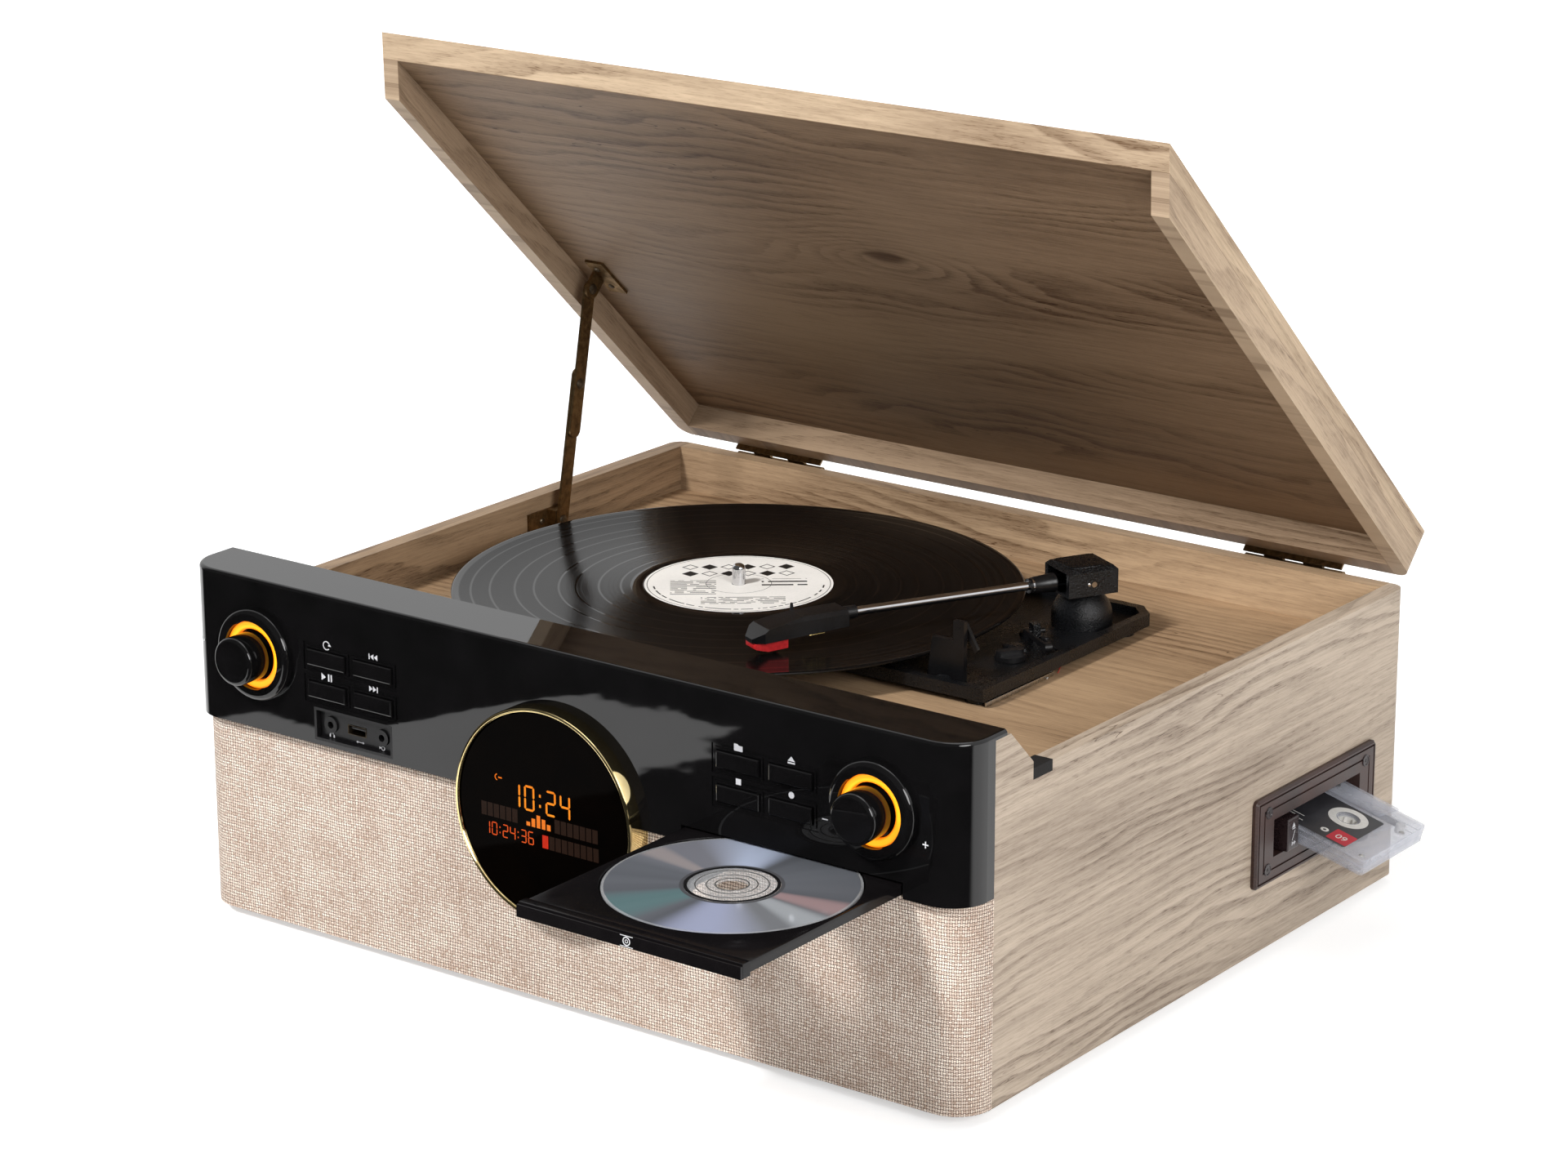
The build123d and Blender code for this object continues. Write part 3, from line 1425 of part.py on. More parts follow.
# Cartridge body with the stylus holder and the stylus under it.
stylus_reach = arm_bearing_length - tube_end
z_stylus = z_record + record_thickness - z_arm + stylus_gap
cartridge_front = stylus_reach + stylus_length / 4
with BuildPart() as cartridge:
    with BuildSketch(head_side):
        with BuildLine():
            Polyline(
                (cartridge_front - cartridge_length, head_floor(cartridge_front - cartridge_length)),
                (cartridge_front, head_floor(cartridge_front)),
                (cartridge_front, head_bottom - cartridge_height),
                (cartridge_front - cartridge_length, head_bottom - cartridge_height),
                close=True,
            )
        make_face()
    extrude(amount=cartridge_width / 2, both=True)
    guard_top = head_bottom - cartridge_height
    with BuildSketch(head_side):
        with BuildLine():
            Polyline(
                (cartridge_front - stylus_length, guard_top),
                (cartridge_front, guard_top),
                (cartridge_front, guard_top - stylus_guard_front),
                (cartridge_front - stylus_length + stylus_guard_rake, guard_top - stylus_guard_rear),
                close=True,
            )
        make_face()
    extrude(amount=cartridge_width / 2, both=True)
    with BuildSketch(head_plane.offset(z_stylus)):
        with Locations((stylus_reach, 0)):
            Circle(stylus_radius)
    extrude(amount=head_bottom - cartridge_height - z_stylus)
finish(cartridge, "cartridge")

# The rest's post stops the arm, whose tube lies over the lower shelf beside it.
rest_y = pivot_y - rest_reach
rest_x_low = pivot_x + rest_x - rest_width / 2
rest_x_high = rest_x_low + rest_width
rest_post_x = rest_x_high - rest_post_width
z_shelf = z_arm - rest_below_axis
z_clip = z_arm + tube_radius + rest_gap + clip_thickness / 2
x_clip = rest_x_high - clip_thickness
with BuildPart() as arm_rest:
    with BuildSketch(facing(rest_y + rest_thickness / 2)):
        with BuildLine():
            Polyline(
                (rest_x_low - rest_post_width / 2, z_base_top),
                (rest_x_low, z_shelf),
                (rest_post_x, z_shelf),
                (rest_post_x, z_clip + clip_thickness),
                (rest_x_high, z_clip + clip_thickness),
                (rest_x_high, z_base_top),
                close=True,
            )
        make_face()
        with Locations((x_clip, z_clip)):
            Circle(clip_pin_radius + shaft_clearance, mode=Mode.SUBTRACT)
    extrude(amount=rest_thickness)
finish(arm_rest, "arm_rest")

clip_angle = math.radians(clip_open)
clip_plane = Plane(
    origin=(x_clip, rest_y + rest_thickness / 2 + 0.4, z_clip),
    x_dir=(math.cos(clip_angle), 0, -math.sin(clip_angle)),
    z_dir=(0, 1, 0),
)
with BuildPart() as arm_clip:
    with BuildSketch(clip_plane):
        with Locations((clip_length / 2, 0)):
            SlotCenterToCenter(clip_length, clip_thickness)
    extrude(amount=clip_thickness)
    with BuildSketch(clip_plane):
        Circle(clip_pin_radius)
    extrude(amount=-rest_thickness - 0.4)
finish(arm_clip, "arm_clip")

with BuildPart() as cue_lever:
    with BuildSketch(cue_side.offset(-cue_shaft_length / 2)):
        Circle(cue_lever_radius)
    extrude(amount=cue_shaft_length)
    with BuildSketch(cue_side.offset(cue_shaft_length / 2 - cue_lever_radius)):
        with Locations((cue_lever_length / 2, 0)):
            SlotCenterToCenter(cue_lever_length, 2 * cue_lever_radius)
    extrude(amount=cue_lever_radius)
    with BuildSketch(cue_side.offset(cue_shaft_length / 2 - 2 * cue_lever_radius)):
        with Locations((cue_lever_length, 0)):
            Circle(2 * cue_lever_radius)
    extrude(amount=3 * cue_lever_radius)
finish(cue_lever, "cue_lever")

z_speed = z_base_top + turret_gap
with BuildPart() as speed_lever:
    post(speed_lever_x, speed_lever_y, speed_knob_radius, z_speed, z_speed + speed_knob_height / 2)
    with BuildSketch(Plane.XY.offset(z_speed + speed_knob_height / 2)):
        with Locations((speed_lever_x, speed_lever_y)):
            SlotOverall(1.9 * speed_knob_radius, speed_knob_height, rotation=90 - cue_turn)
    extrude(amount=speed_knob_height / 2)
    post(speed_lever_x, speed_lever_y, speed_pin_radius, z_base_bottom, z_speed)
finish(speed_lever, "speed_lever")

# ---------------------------------------- boards, loudspeakers, rear plate

z_front_board = z_knob + 1.5
x_board_inner = display_radius + 5.0
x_board_outer = x_out - fascia_wall - 6.0
with BuildPart() as circuit_boards:
    for side in (-1, 1):
        board_x = sorted((side * x_board_inner, side * x_board_outer))
        slab(
            board_x,
            (y_board_front, y_board_front + board_thickness),
            (z_front_board - front_board_height / 2, z_front_board + front_board_height / 2),
        )
        with Locations((side * knob_spread, y_board_front - encoder_depth / 2, z_knob)):
            Box(encoder_size, encoder_depth, encoder_size)
        drum(
            side * knob_spread,
            z_knob,
            shaft_radius + shaft_clearance,
            y_board_front - encoder_depth,
            y_board_front,
            Mode.SUBTRACT,
        )
    for x, z in button_places:
        with Locations((x, y_board_front - switch_height / 2, z)):
            Box(switch_size, switch_height, switch_size)
    # Main board on four stands on the base.
    z_main = z_floor + main_board_stand
    slab(
        (-main_board_width / 2, main_board_width / 2),
        (-main_board_depth / 2, main_board_depth / 2),
        (z_main, z_main + board_thickness),
    )
    with BuildSketch(Plane.XY.offset(z_floor)):
        with GridLocations(main_board_width - encoder_size, main_board_depth - encoder_size, 2, 2):
            Circle(screw_head_radius)
    extrude(amount=main_board_stand)
    # Transformer and two capacitors.
    slab(
        (-main_board_width / 2 + encoder_size, -main_board_width / 2 + 5 * encoder_size),
        (0, 4 * encoder_size),
        (z_main, z_main + 3.5 * encoder_size),
    )
    for x in (0, 2 * encoder_size):
        post(x, encoder_size, encoder_size / 2, z_main, z_main + 2.5 * encoder_size)
finish(circuit_boards, "circuit_boards")

with BuildPart() as speakers:
    for side in (-1, 1):
        x = side * speaker_x
        drum(x, speaker_z, speaker_radius, y_baffle_back, y_baffle_back + 3)
        with BuildSketch(facing(y_baffle_back + speaker_depth * 2 / 3)):
            with Locations((x, speaker_z)):
                Circle(speaker_magnet_radius)
        with BuildSketch(facing(y_baffle_back)):
            with Locations((x, speaker_z)):
                Circle(speaker_radius - 4)
        loft()
        with BuildSketch(facing(y_baffle_back + speaker_depth / 2)):
            with Locations((x, speaker_z)):
                Circle(speaker_magnet_radius / 2)
        with BuildSketch(facing(y_baffle_back)):
            with Locations((x, speaker_z)):
                Circle(speaker_hole_radius - 2)
        loft(mode=Mode.SUBTRACT)
        y_magnet = y_baffle_back + speaker_depth * 0.6
        drum(x, speaker_z, speaker_magnet_radius, y_magnet, y_baffle_back + speaker_depth)
        with BuildSketch(facing(y_magnet)):
            with Locations((x, speaker_z)):
                Circle(speaker_magnet_radius / 2)
        extrude(amount=speaker_depth * 0.2)
finish(speakers, "speakers")

plate_rear = y_rear + plate_thickness
inlet_x = plate_x + plate_width / 2 - inlet_width
phono_x = plate_x - plate_width / 4
with BuildPart() as rear_plate:
    slab(
        (plate_x - plate_width / 2, plate_x + plate_width / 2),
        (y_rear, plate_rear),
        (z_plate - plate_height / 2, z_plate + plate_height / 2),
    )
    fillet(edges().filter_by(Axis.Y), plate_lap / 2)
    # Mains inlet: a housing behind the plate, open to the rear, with two pins.
    slab(
        (inlet_x - inlet_width / 2, inlet_x + inlet_width / 2),
        (plate_rear - inlet_depth - plate_thickness, plate_rear),
        (z_plate - inlet_height / 2, z_plate + inlet_height / 2),
    )
    with BuildSketch(facing(plate_rear)):
        with Locations((inlet_x, z_plate)):
            SlotOverall(inlet_width - 2 * plate_thickness, inlet_height - 2 * plate_thickness)
            with GridLocations(inlet_height - 2 * plate_thickness, 0, 2, 1):
                Circle(screw_radius, mode=Mode.SUBTRACT)
    extrude(amount=inlet_depth, mode=Mode.SUBTRACT)
    # Line output: two pairs of phono sockets.
    with BuildSketch(facing(plate_rear)):
        with Locations((phono_x, z_plate)):
            with GridLocations(phono_spacing, phono_spacing, 2, 2):
                Circle(phono_radius)
                Circle(phono_radius / 2, mode=Mode.SUBTRACT)
    extrude(amount=-phono_length)
    for x, z in plate_spots:
        drum(x, z, screw_radius, y_rear, plate_rear, Mode.SUBTRACT)
finish(rear_plate, "rear_plate")


def screw_set(seat, places, head_depth=0.0):
    """Pan-head screws at places in a plane, driven against its normal."""
    for radius, length in ((screw_head_radius, screw_head_height), (screw_radius, -screw_length)):
        with BuildSketch(seat.offset(-head_depth)) as discs:
            for place in places:
                with Locations(place):
                    Circle(radius)
        extrude(discs.sketch, amount=length)


with BuildPart() as screws:
    frame_spots = [
        (slot_y + side_y * slot_screw_spacing_y / 2, slot_z + side_z * slot_screw_spacing_z / 2)
        for side_y in (-1, 1)
        for side_z in (-1, 1)
    ]
    screw_set(Plane.YZ.offset(x_face), frame_spots, screw_head_height)
    plate_seat = Plane(origin=(0, plate_rear, 0), x_dir=(-1, 0, 0), z_dir=(0, 1, 0))
    screw_set(plate_seat, [(-x, z) for x, z in plate_spots])
finish(screws, "screws")
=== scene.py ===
"""Looks of a stereo music centre: a wooden cabinet with a record player under a hinged lid.

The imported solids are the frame. Each sub-assembly below dresses its solids and adds the fine
pieces that they lack. Shapes are written in millimetres and become metres when a piece is made.
X runs to the right, Y to the rear and Z up.
"""
import logging
import math
from dataclasses import dataclass
from enum import Enum
from functools import reduce
from typing import Any, Callable, ClassVar, Iterable, Sequence

import bmesh
import bpy
from mathutils import Matrix, Vector


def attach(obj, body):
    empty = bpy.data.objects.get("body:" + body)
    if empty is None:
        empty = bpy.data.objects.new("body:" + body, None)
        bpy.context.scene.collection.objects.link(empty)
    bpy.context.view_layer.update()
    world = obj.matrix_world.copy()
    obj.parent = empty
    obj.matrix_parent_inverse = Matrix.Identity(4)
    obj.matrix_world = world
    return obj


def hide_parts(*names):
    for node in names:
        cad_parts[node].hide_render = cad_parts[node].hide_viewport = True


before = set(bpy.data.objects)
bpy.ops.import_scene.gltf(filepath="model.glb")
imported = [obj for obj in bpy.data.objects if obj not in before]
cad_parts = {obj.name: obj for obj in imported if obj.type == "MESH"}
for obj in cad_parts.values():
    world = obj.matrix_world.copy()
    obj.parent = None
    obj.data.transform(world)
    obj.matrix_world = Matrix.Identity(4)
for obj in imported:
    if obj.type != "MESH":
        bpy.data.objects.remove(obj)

LOG = logging.getLogger("music_centre")
MM = 0.001
VECTOR, COLOUR, NUMBER = "NodeSocketVector", "NodeSocketColor", "NodeSocketFloat"
# Angles in radians above which an edge is a rim to bevel, and is shaded sharp.
RIM_ANGLE, SHARP_ANGLE = 0.3, math.radians(34)
# Points closer than this, in millimetres, become one.
WELD = 0.0005
# A figure's height as a share of its type size.
FIGURE_SHARE = 0.7

Point = tuple[float, float, float]
Spot = tuple[float, float]
Colour = tuple[float, float, float]
Socket = bpy.types.NodeSocket
Sockets = dict[str, Socket]
Value = Any
Edge = bmesh.types.BMEdge

# Where a shape's x and z axes point on an upright face: the front, the right side and the rear.
FRONT = ((1, 0, 0), (0, -1, 0))
RIGHT = ((0, 1, 0), (1, 0, 0))
REAR = ((-1, 0, 0), (0, 1, 0))


def tone(red: float, green: float, blue: float) -> Colour:
    """A linear colour from its screen values.

    Args:
        red: red from 0 to 255.
        green: green from 0 to 255.
        blue: blue from 0 to 255.

    Returns:
        The linear colour.
    """

    def linear(value: float) -> float:
        """One channel, linear."""
        share = value / 255.0
        return share / 12.92 if share <= 0.04045 else ((share + 0.055) / 1.055) ** 2.4

    return linear(red), linear(green), linear(blue)


def darker(colour: Colour, share: float) -> Colour:
    """A colour at a share of its strength."""
    return tuple(channel * share for channel in colour)


def moved(x: float, y: float, z: float = 0.0) -> Matrix:
    """The place of a shape that is only moved."""
    return Matrix.Translation((x, y, z))


def set_at(origin: Point, x_dir: Point = (1, 0, 0), z_dir: Point = (0, 0, 1)) -> Matrix:
    """The place of a shape, from its origin and two of its directions.

    Args:
        origin: where the shape's own origin goes, in millimetres.
        x_dir: where its x axis points.
        z_dir: where its z axis points.

    Returns:
        The matrix that sets the shape there.
    """
    z_axis = Vector(z_dir).normalized()
    x_axis = Vector(x_dir).normalized()
    turned = Matrix((x_axis, z_axis.cross(x_axis), z_axis)).transposed().to_4x4()
    return Matrix.Translation(origin) @ turned


# ------------------------------------------------------------------ node trees


class Graph:
    """Adds nodes to one shader tree in few words."""

    def __init__(self, tree: bpy.types.NodeTree) -> None:
        """Keeps the tree to add to."""
        self.tree = tree

    def add(self, kind: str, given: dict[Any, Value] | None = None, **settings: Any) -> bpy.types.Node:
        """Adds a node.

        Args:
            kind: the node's type name.
            given: sockets to link and values to set, by input name or number.
            **settings: the node's own properties.

        Returns:
            The new node.
        """
        node = self.tree.nodes.new(kind)
        for key, value in settings.items():
            setattr(node, key, value)
        for key, value in (given or {}).items():
            self.feed(node.inputs[key], value)
        return node

    def feed(self, socket: Socket, value: Value) -> None:
        """Links a socket to another one, or sets its value."""
        if isinstance(value, bpy.types.NodeSocket):
            self.tree.links.new(value, socket)
        elif socket.type == "RGBA" and len(value) == 3:
            socket.default_value = (*value, 1.0)
        else:
            socket.default_value = value

    def calc(self, operation: str, *values: Value, clamp: bool = False) -> Socket:
        """The result of a sum on numbers."""
        node = self.add("ShaderNodeMath", dict(enumerate(values)), operation=operation, use_clamp=clamp)
        return node.outputs[0]

    def times(self, *values: Value) -> Socket:
        """The product of numbers."""
        return reduce(lambda first, second: self.calc("MULTIPLY", first, second), values)

    def plus(self, *values: Value) -> Socket:
        """The sum of numbers."""
        return reduce(lambda first, second: self.calc("ADD", first, second), values)

    def minus(self, first: Value, second: Value) -> Socket:
        """One number less another."""
        return self.calc("SUBTRACT", first, second)

    def swing(self, value: Socket, gain: Value) -> Socket:
        """How far a share is from its middle, times a gain."""
        return self.times(self.minus(value, 0.5), gain)

    def size(self, value: Socket) -> Socket:
        """A number without its sign."""
        return self.calc("ABSOLUTE", value)

    def most(self, first: Value, second: Value) -> Socket:
        """The larger of two numbers."""
        return self.calc("MAXIMUM", first, second)

    def within(self, value: Socket, low: float, high: float) -> Socket:
        """One where a value lies between two others."""
        above = self.calc("GREATER_THAN", value, low)
        return self.times(above, self.calc("LESS_THAN", value, high))

    def vector(self, operation: str, *values: Value) -> Socket:
        """The result of a sum on vectors; a dot product or length comes out as a number."""
        node = self.add("ShaderNodeVectorMath", dict(enumerate(values)), operation=operation)
        return node.outputs["Value" if operation in ("DOT_PRODUCT", "LENGTH") else "Vector"]

    def noise(self, place: Socket, scale: float = 1.0, detail: float = 2.0, rough: float = 0.5) -> Socket:
        """Smooth noise from 0 to 1 at a place."""
        given = {"Vector": place, "Scale": scale, "Detail": detail, "Roughness": rough}
        return self.add("ShaderNodeTexNoise", given).outputs[0]

    def mix(self, share: Value, first: Value, second: Value, blend: str = "MIX") -> Socket:
        """A colour between two."""
        node = self.add("ShaderNodeMix", {0: share, 6: first, 7: second}, data_type="RGBA", blend_type=blend)
        return node.outputs[2]

    def fade(self, value: Value, low: Value, high: Value, start: float = 0.0, end: float = 1.0) -> Socket:
        """A number led smoothly from one value to another while the first passes a range."""
        given = {0: value, 1: low, 2: high, 3: start, 4: end}
        return self.add("ShaderNodeMapRange", given, interpolation_type="SMOOTHSTEP").outputs[0]

    def split(self, place: Socket) -> tuple[Socket, Socket, Socket]:
        """A vector's three numbers."""
        node = self.add("ShaderNodeSeparateXYZ", {0: place})
        return node.outputs[0], node.outputs[1], node.outputs[2]

    def join(self, x: Value, y: Value, z: Value = 0.0) -> Socket:
        """A vector from three numbers."""
        return self.add("ShaderNodeCombineXYZ", {0: x, 1: y, 2: z}).outputs[0]

    def seen(self) -> tuple[Socket, Socket]:
        """One for rays straight from the camera, and one for reflected rays."""
        light = self.add("ShaderNodeLightPath").outputs
        return self.most(light["Is Camera Ray"], light["Is Transmission Ray"]), light["Is Glossy Ray"]


class Effect:
    """A shared effect: a node group that is built once and placed in each material.

    GIVEN holds its inputs, each a kind of socket or a number's usual value; MADE its outputs.
    """

    NAME: ClassVar[str] = ""
    GIVEN: ClassVar[dict[str, str | float]] = {}
    MADE: ClassVar[tuple[str, ...]] = ()

    @classmethod
    def group(cls) -> bpy.types.NodeTree:
        """The effect's node group, built the first time."""
        tree = bpy.data.node_groups.get(cls.NAME)
        if tree is None:
            tree = bpy.data.node_groups.new(cls.NAME, "ShaderNodeTree")
            for name, value in cls.GIVEN.items():
                kind = value if isinstance(value, str) else NUMBER
                socket = tree.interface.new_socket(name, in_out="INPUT", socket_type=kind)
                if kind == NUMBER:
                    socket.default_value = value
            for name in cls.MADE:
                kind = COLOUR if name == "Color" else NUMBER
                tree.interface.new_socket(name, in_out="OUTPUT", socket_type=kind)
            graph = Graph(tree)
            source = graph.add("NodeGroupInput")
            made = cls.draw(graph, {socket.name: socket for socket in source.outputs if socket.name})
            graph.add("NodeGroupOutput", made)
        return tree

    @classmethod
    def draw(cls, graph: Graph, given: Sockets) -> Sockets:
        """Builds the effect's nodes from its inputs and gives its outputs by name."""
        raise NotImplementedError

    @classmethod
    def use(cls, graph: Graph, **values: Value) -> Any:
        """Places the effect in a material.

        Args:
            graph: the material's graph.
            **values: the effect's inputs, with underscores for spaces.

        Returns:
            The effect's outputs, by name.
        """
        given = {name.replace("_", " "): value for name, value in values.items()}
        return graph.add("ShaderNodeGroup", given, node_tree=cls.group()).outputs


class OakGrain(Effect):
    """Printed oak: wandering growth lines, fine fibres, short dark pores and now and then a split."""

    NAME = "oak_grain"
    GIVEN = {
        "Place": VECTOR, "Light": COLOUR, "Dark": COLOUR, "Line Pitch": 0.008, "Wander": 5.0, "Contrast": 1.0,
        "Knot": VECTOR, "Knot Size": 0.02,
    }
    MADE = ("Color", "Height", "Roughness")

    @classmethod
    def draw(cls, graph: Graph, given: Sockets) -> Sockets:
        """Builds the grain; the place's x runs along it and its y across it, in metres."""
        place = given["Place"]

        def streaks(along: float, across: float, detail: float = 2.0, rough: float = 0.5) -> Socket:
            """Noise at one scale along the grain and another across it."""
            return graph.noise(graph.vector("MULTIPLY", place, (along, across, across)), 1.0, detail, rough)

        bend = graph.swing(streaks(2.6, 9.0), graph.times(given["Wander"], 2.2))
        bend = graph.plus(bend, graph.times(streaks(12.0, 42.0), 1.9), graph.times(streaks(60.0, 260.0), 0.22))
        # Round a knot the lines close into rings.
        offset = graph.vector("MULTIPLY", graph.vector("SUBTRACT", place, given["Knot"]), (0.42, 1.0, 0.0))
        near = graph.calc("DIVIDE", graph.vector("LENGTH", offset), given["Knot Size"])
        rise = graph.calc("EXPONENT", graph.times(near, near, -0.5))
        count = graph.calc("DIVIDE", graph.split(place)[1], given["Line Pitch"])
        saw = graph.calc("FRACT", graph.plus(count, bend, graph.times(rise, 4.5)))
        strength = streaks(4.0, 22.0, 1.0)
        line = graph.times(graph.fade(saw, 0.25, 0.9), graph.fade(saw, 1.0, 0.9))
        line = graph.times(line, graph.fade(strength, 0.35, 0.65, 0.1, 1.0))
        # Fine fibres, and the short dashes of open pores, which crowd on the lines.
        fibre = streaks(34.0, 900.0, 3.0, 0.6)
        crowd = graph.plus(graph.times(line, 0.6), 0.3)
        pore = graph.times(graph.fade(streaks(120.0, 2300.0, 2.0, 0.6), 0.53, 0.64), crowd)
        # Splits are thin, long and rare.
        crack = graph.size(graph.minus(streaks(5.0, 60.0, 3.0, 0.7), 0.5))
        crack = graph.times(graph.fade(crack, 0.004, 0.001), graph.fade(strength, 0.6, 0.7))
        share = graph.plus(
            graph.times(line, 0.3), graph.swing(fibre, 0.6), graph.swing(streaks(9.0, 190.0, 2.0, 0.6), 0.42),
            graph.swing(streaks(3.0, 12.0, 3.0, 0.6), 1.1), graph.times(pore, 0.42), graph.times(crack, 0.8),
            graph.times(graph.fade(near, 0.55, 0.2), 0.6),
        )
        share = graph.calc("ADD", graph.times(share, given["Contrast"]), 0.2, clamp=True)
        height = graph.minus(graph.plus(graph.times(pore, -1.0), graph.times(fibre, 0.35)), graph.times(crack, 1.5))
        return {
            "Color": graph.mix(share, given["Light"], given["Dark"]),
            "Height": height,
            "Roughness": graph.plus(graph.times(fibre, 0.16), 0.42),
        }


class LinenWeave(Effect):
    """Plain weave of uneven threads, a thread's width apart both ways."""

    NAME = "linen_weave"
    GIVEN = {"Place": VECTOR, "Pitch": 0.0014, "Thread": COLOUR, "Second Thread": COLOUR, "Gap": COLOUR}
    MADE = ("Color", "Height")

    @classmethod
    def draw(cls, graph: Graph, given: Sockets) -> Sockets:
        """Builds the weave; the place's x and y lie in the cloth, in metres."""
        place, pitch = given["Place"], given["Pitch"]
        wander = graph.swing(graph.noise(place, 60.0), 1.3)
        threads = graph.vector("DIVIDE", place, graph.join(pitch, pitch, pitch))
        across, up, _ = graph.split(threads)
        across = graph.plus(across, wander)
        up = graph.plus(up, graph.times(wander, 0.7))
        column, row = graph.calc("FLOOR", across), graph.calc("FLOOR", up)
        turn = graph.size(graph.calc("PINGPONG", graph.plus(column, row), 1.0))

        def rounded(way: Socket, start: float, end: float) -> Socket:
            """The height of the threads that lie side by side one way."""
            arch = graph.size(graph.calc("SINE", graph.times(way, math.pi)))
            return graph.times(arch, graph.fade(turn, 0.0, 1.0, start, end))

        warp, weft = rounded(across, 0.5, 1.0), rounded(up, 1.0, 0.5)
        # Each thread keeps its own thickness and tone along its length.
        warp_tone = graph.noise(graph.join(graph.times(column, 7.31), graph.times(up, 0.09)), 1.0, 3.0, 0.85)
        weft_tone = graph.noise(graph.join(graph.times(across, 0.09), graph.times(row, 5.17)), 1.0, 3.0, 0.85)
        on_top = graph.calc("GREATER_THAN", warp, weft)
        own = graph.add("ShaderNodeMix", {0: on_top, 2: weft_tone, 3: warp_tone}, data_type="FLOAT").outputs[0]
        patch = graph.noise(place, 34.0, 3.0, 0.6)
        knot = graph.noise(threads, 0.9, 2.0, 0.6)
        hue = graph.plus(own, graph.times(patch, 0.3), graph.times(knot, 0.45))
        colour = graph.mix(graph.fade(hue, 0.66, 1.1), given["Thread"], given["Second Thread"])
        height = graph.most(warp, weft)
        hollow = graph.fade(graph.plus(height, graph.times(own, 0.6)), 1.08, 0.66)
        return {"Color": graph.mix(hollow, colour, given["Gap"]), "Height": height}


class Mottle(Effect):
    """Small changes of tone, and the fine unevenness of a moulded or cast surface."""

    NAME = "mottle"
    GIVEN = {"Place": VECTOR, "Scale": 400.0, "Light": COLOUR, "Dark": COLOUR}
    MADE = ("Color", "Height", "Share")

    @classmethod
    def draw(cls, graph: Graph, given: Sockets) -> Sockets:
        """Builds a fine grain over broad soft clouds."""
        place = graph.vector("MULTIPLY", given["Place"], graph.join(*[given["Scale"]] * 3))
        fine = graph.noise(place, 1.0, 3.0, 0.6)
        broad = graph.noise(place, 0.035)
        share = graph.fade(graph.plus(graph.times(fine, 0.45), graph.times(broad, 0.55)), 0.32, 0.68)
        return {"Color": graph.mix(share, given["Dark"], given["Light"]), "Height": fine, "Share": share}


class Specks(Effect):
    """Sparse grains of dust."""

    NAME = "specks"
    GIVEN = {"Place": VECTOR, "Scale": 130.0, "Size": 0.05, "Share": 0.12}
    MADE = ("Mask",)

    @classmethod
    def draw(cls, graph: Graph, given: Sockets) -> Sockets:
        """Builds a grain in a share of the cells of a loose pattern."""
        cells = graph.add("ShaderNodeTexVoronoi", {"Vector": given["Place"], "Scale": given["Scale"]})
        red, green, _ = graph.split(cells.outputs["Color"])
        kept = graph.calc("LESS_THAN", red, given["Share"])
        size = graph.times(given["Size"], graph.plus(green, 0.4))
        return {"Mask": graph.times(graph.calc("LESS_THAN", cells.outputs["Distance"], size), kept)}


class Rounds(Effect):
    """Rings about the z axis, with a slow change from ring to ring."""

    NAME = "rounds"
    GIVEN = {"Place": VECTOR, "Pitch": 0.001}
    MADE = ("Radius", "Wave", "Band")

    @classmethod
    def draw(cls, graph: Graph, given: Sockets) -> Sockets:
        """Builds the rings from a place that is centred on their axis."""
        radius = graph.vector("LENGTH", graph.vector("MULTIPLY", given["Place"], (1.0, 1.0, 0.0)))
        turns = graph.calc("DIVIDE", radius, given["Pitch"])
        wave = graph.calc("SINE", graph.times(turns, 2 * math.pi))
        band = graph.noise(graph.join(graph.times(radius, 420.0), 0.0), 1.0, 3.0, 0.7)
        return {"Radius": radius, "Wave": wave, "Band": band}


# -------------------------------------------------------------------- finishes


class Paint(Graph):
    """One material's graph, with its shader and the place on the piece."""

    def __init__(self, material: bpy.types.Material) -> None:
        """Finds the material's shader and adds the place."""
        super().__init__(material.node_tree)
        self.shader = material.node_tree.nodes["Principled BSDF"]
        self.place = self.add("ShaderNodeTexCoord").outputs["Object"]

    def set(self, **values: Value) -> None:
        """Links or sets the shader's own sockets, whose names have underscores for spaces."""
        for name, value in values.items():
            self.feed(self.shader.inputs[name.replace("_", " ")], value)

    def bump(self, height: Socket, depth: float, strength: float = 1.0) -> None:
        """Raises the surface by a height, in metres at full height."""
        node = self.add("ShaderNodeBump", {"Height": height, "Distance": depth, "Strength": strength})
        self.set(Normal=node.outputs[0])

    def mottle(self, scale: float, light: Colour, dark: Colour, place: Socket | None = None) -> Any:
        """Places the mottle between two colours, at a scale."""
        here = self.place if place is None else place
        return Mottle.use(self, Place=here, Scale=scale, Light=light, Dark=dark)

    def about(self, centre: Spot) -> Socket:
        """The place measured from an upright axis."""
        return self.vector("SUBTRACT", self.place, (*centre, 0.0))


@dataclass(frozen=True)
class Finish:
    """A named finish; its material is made the first time that it is asked for."""

    name: str

    def material(self) -> bpy.types.Material:
        """The finish's material."""
        label = f"{self.name}_finish"
        made = bpy.data.materials.get(label)
        if made is None:
            made = bpy.data.materials.new(label)
            made.use_nodes = True
            self.paint(Paint(made))
        return made

    def paint(self, to: Paint) -> None:
        """Adds the finish's nodes and sets its shader."""
        raise NotImplementedError


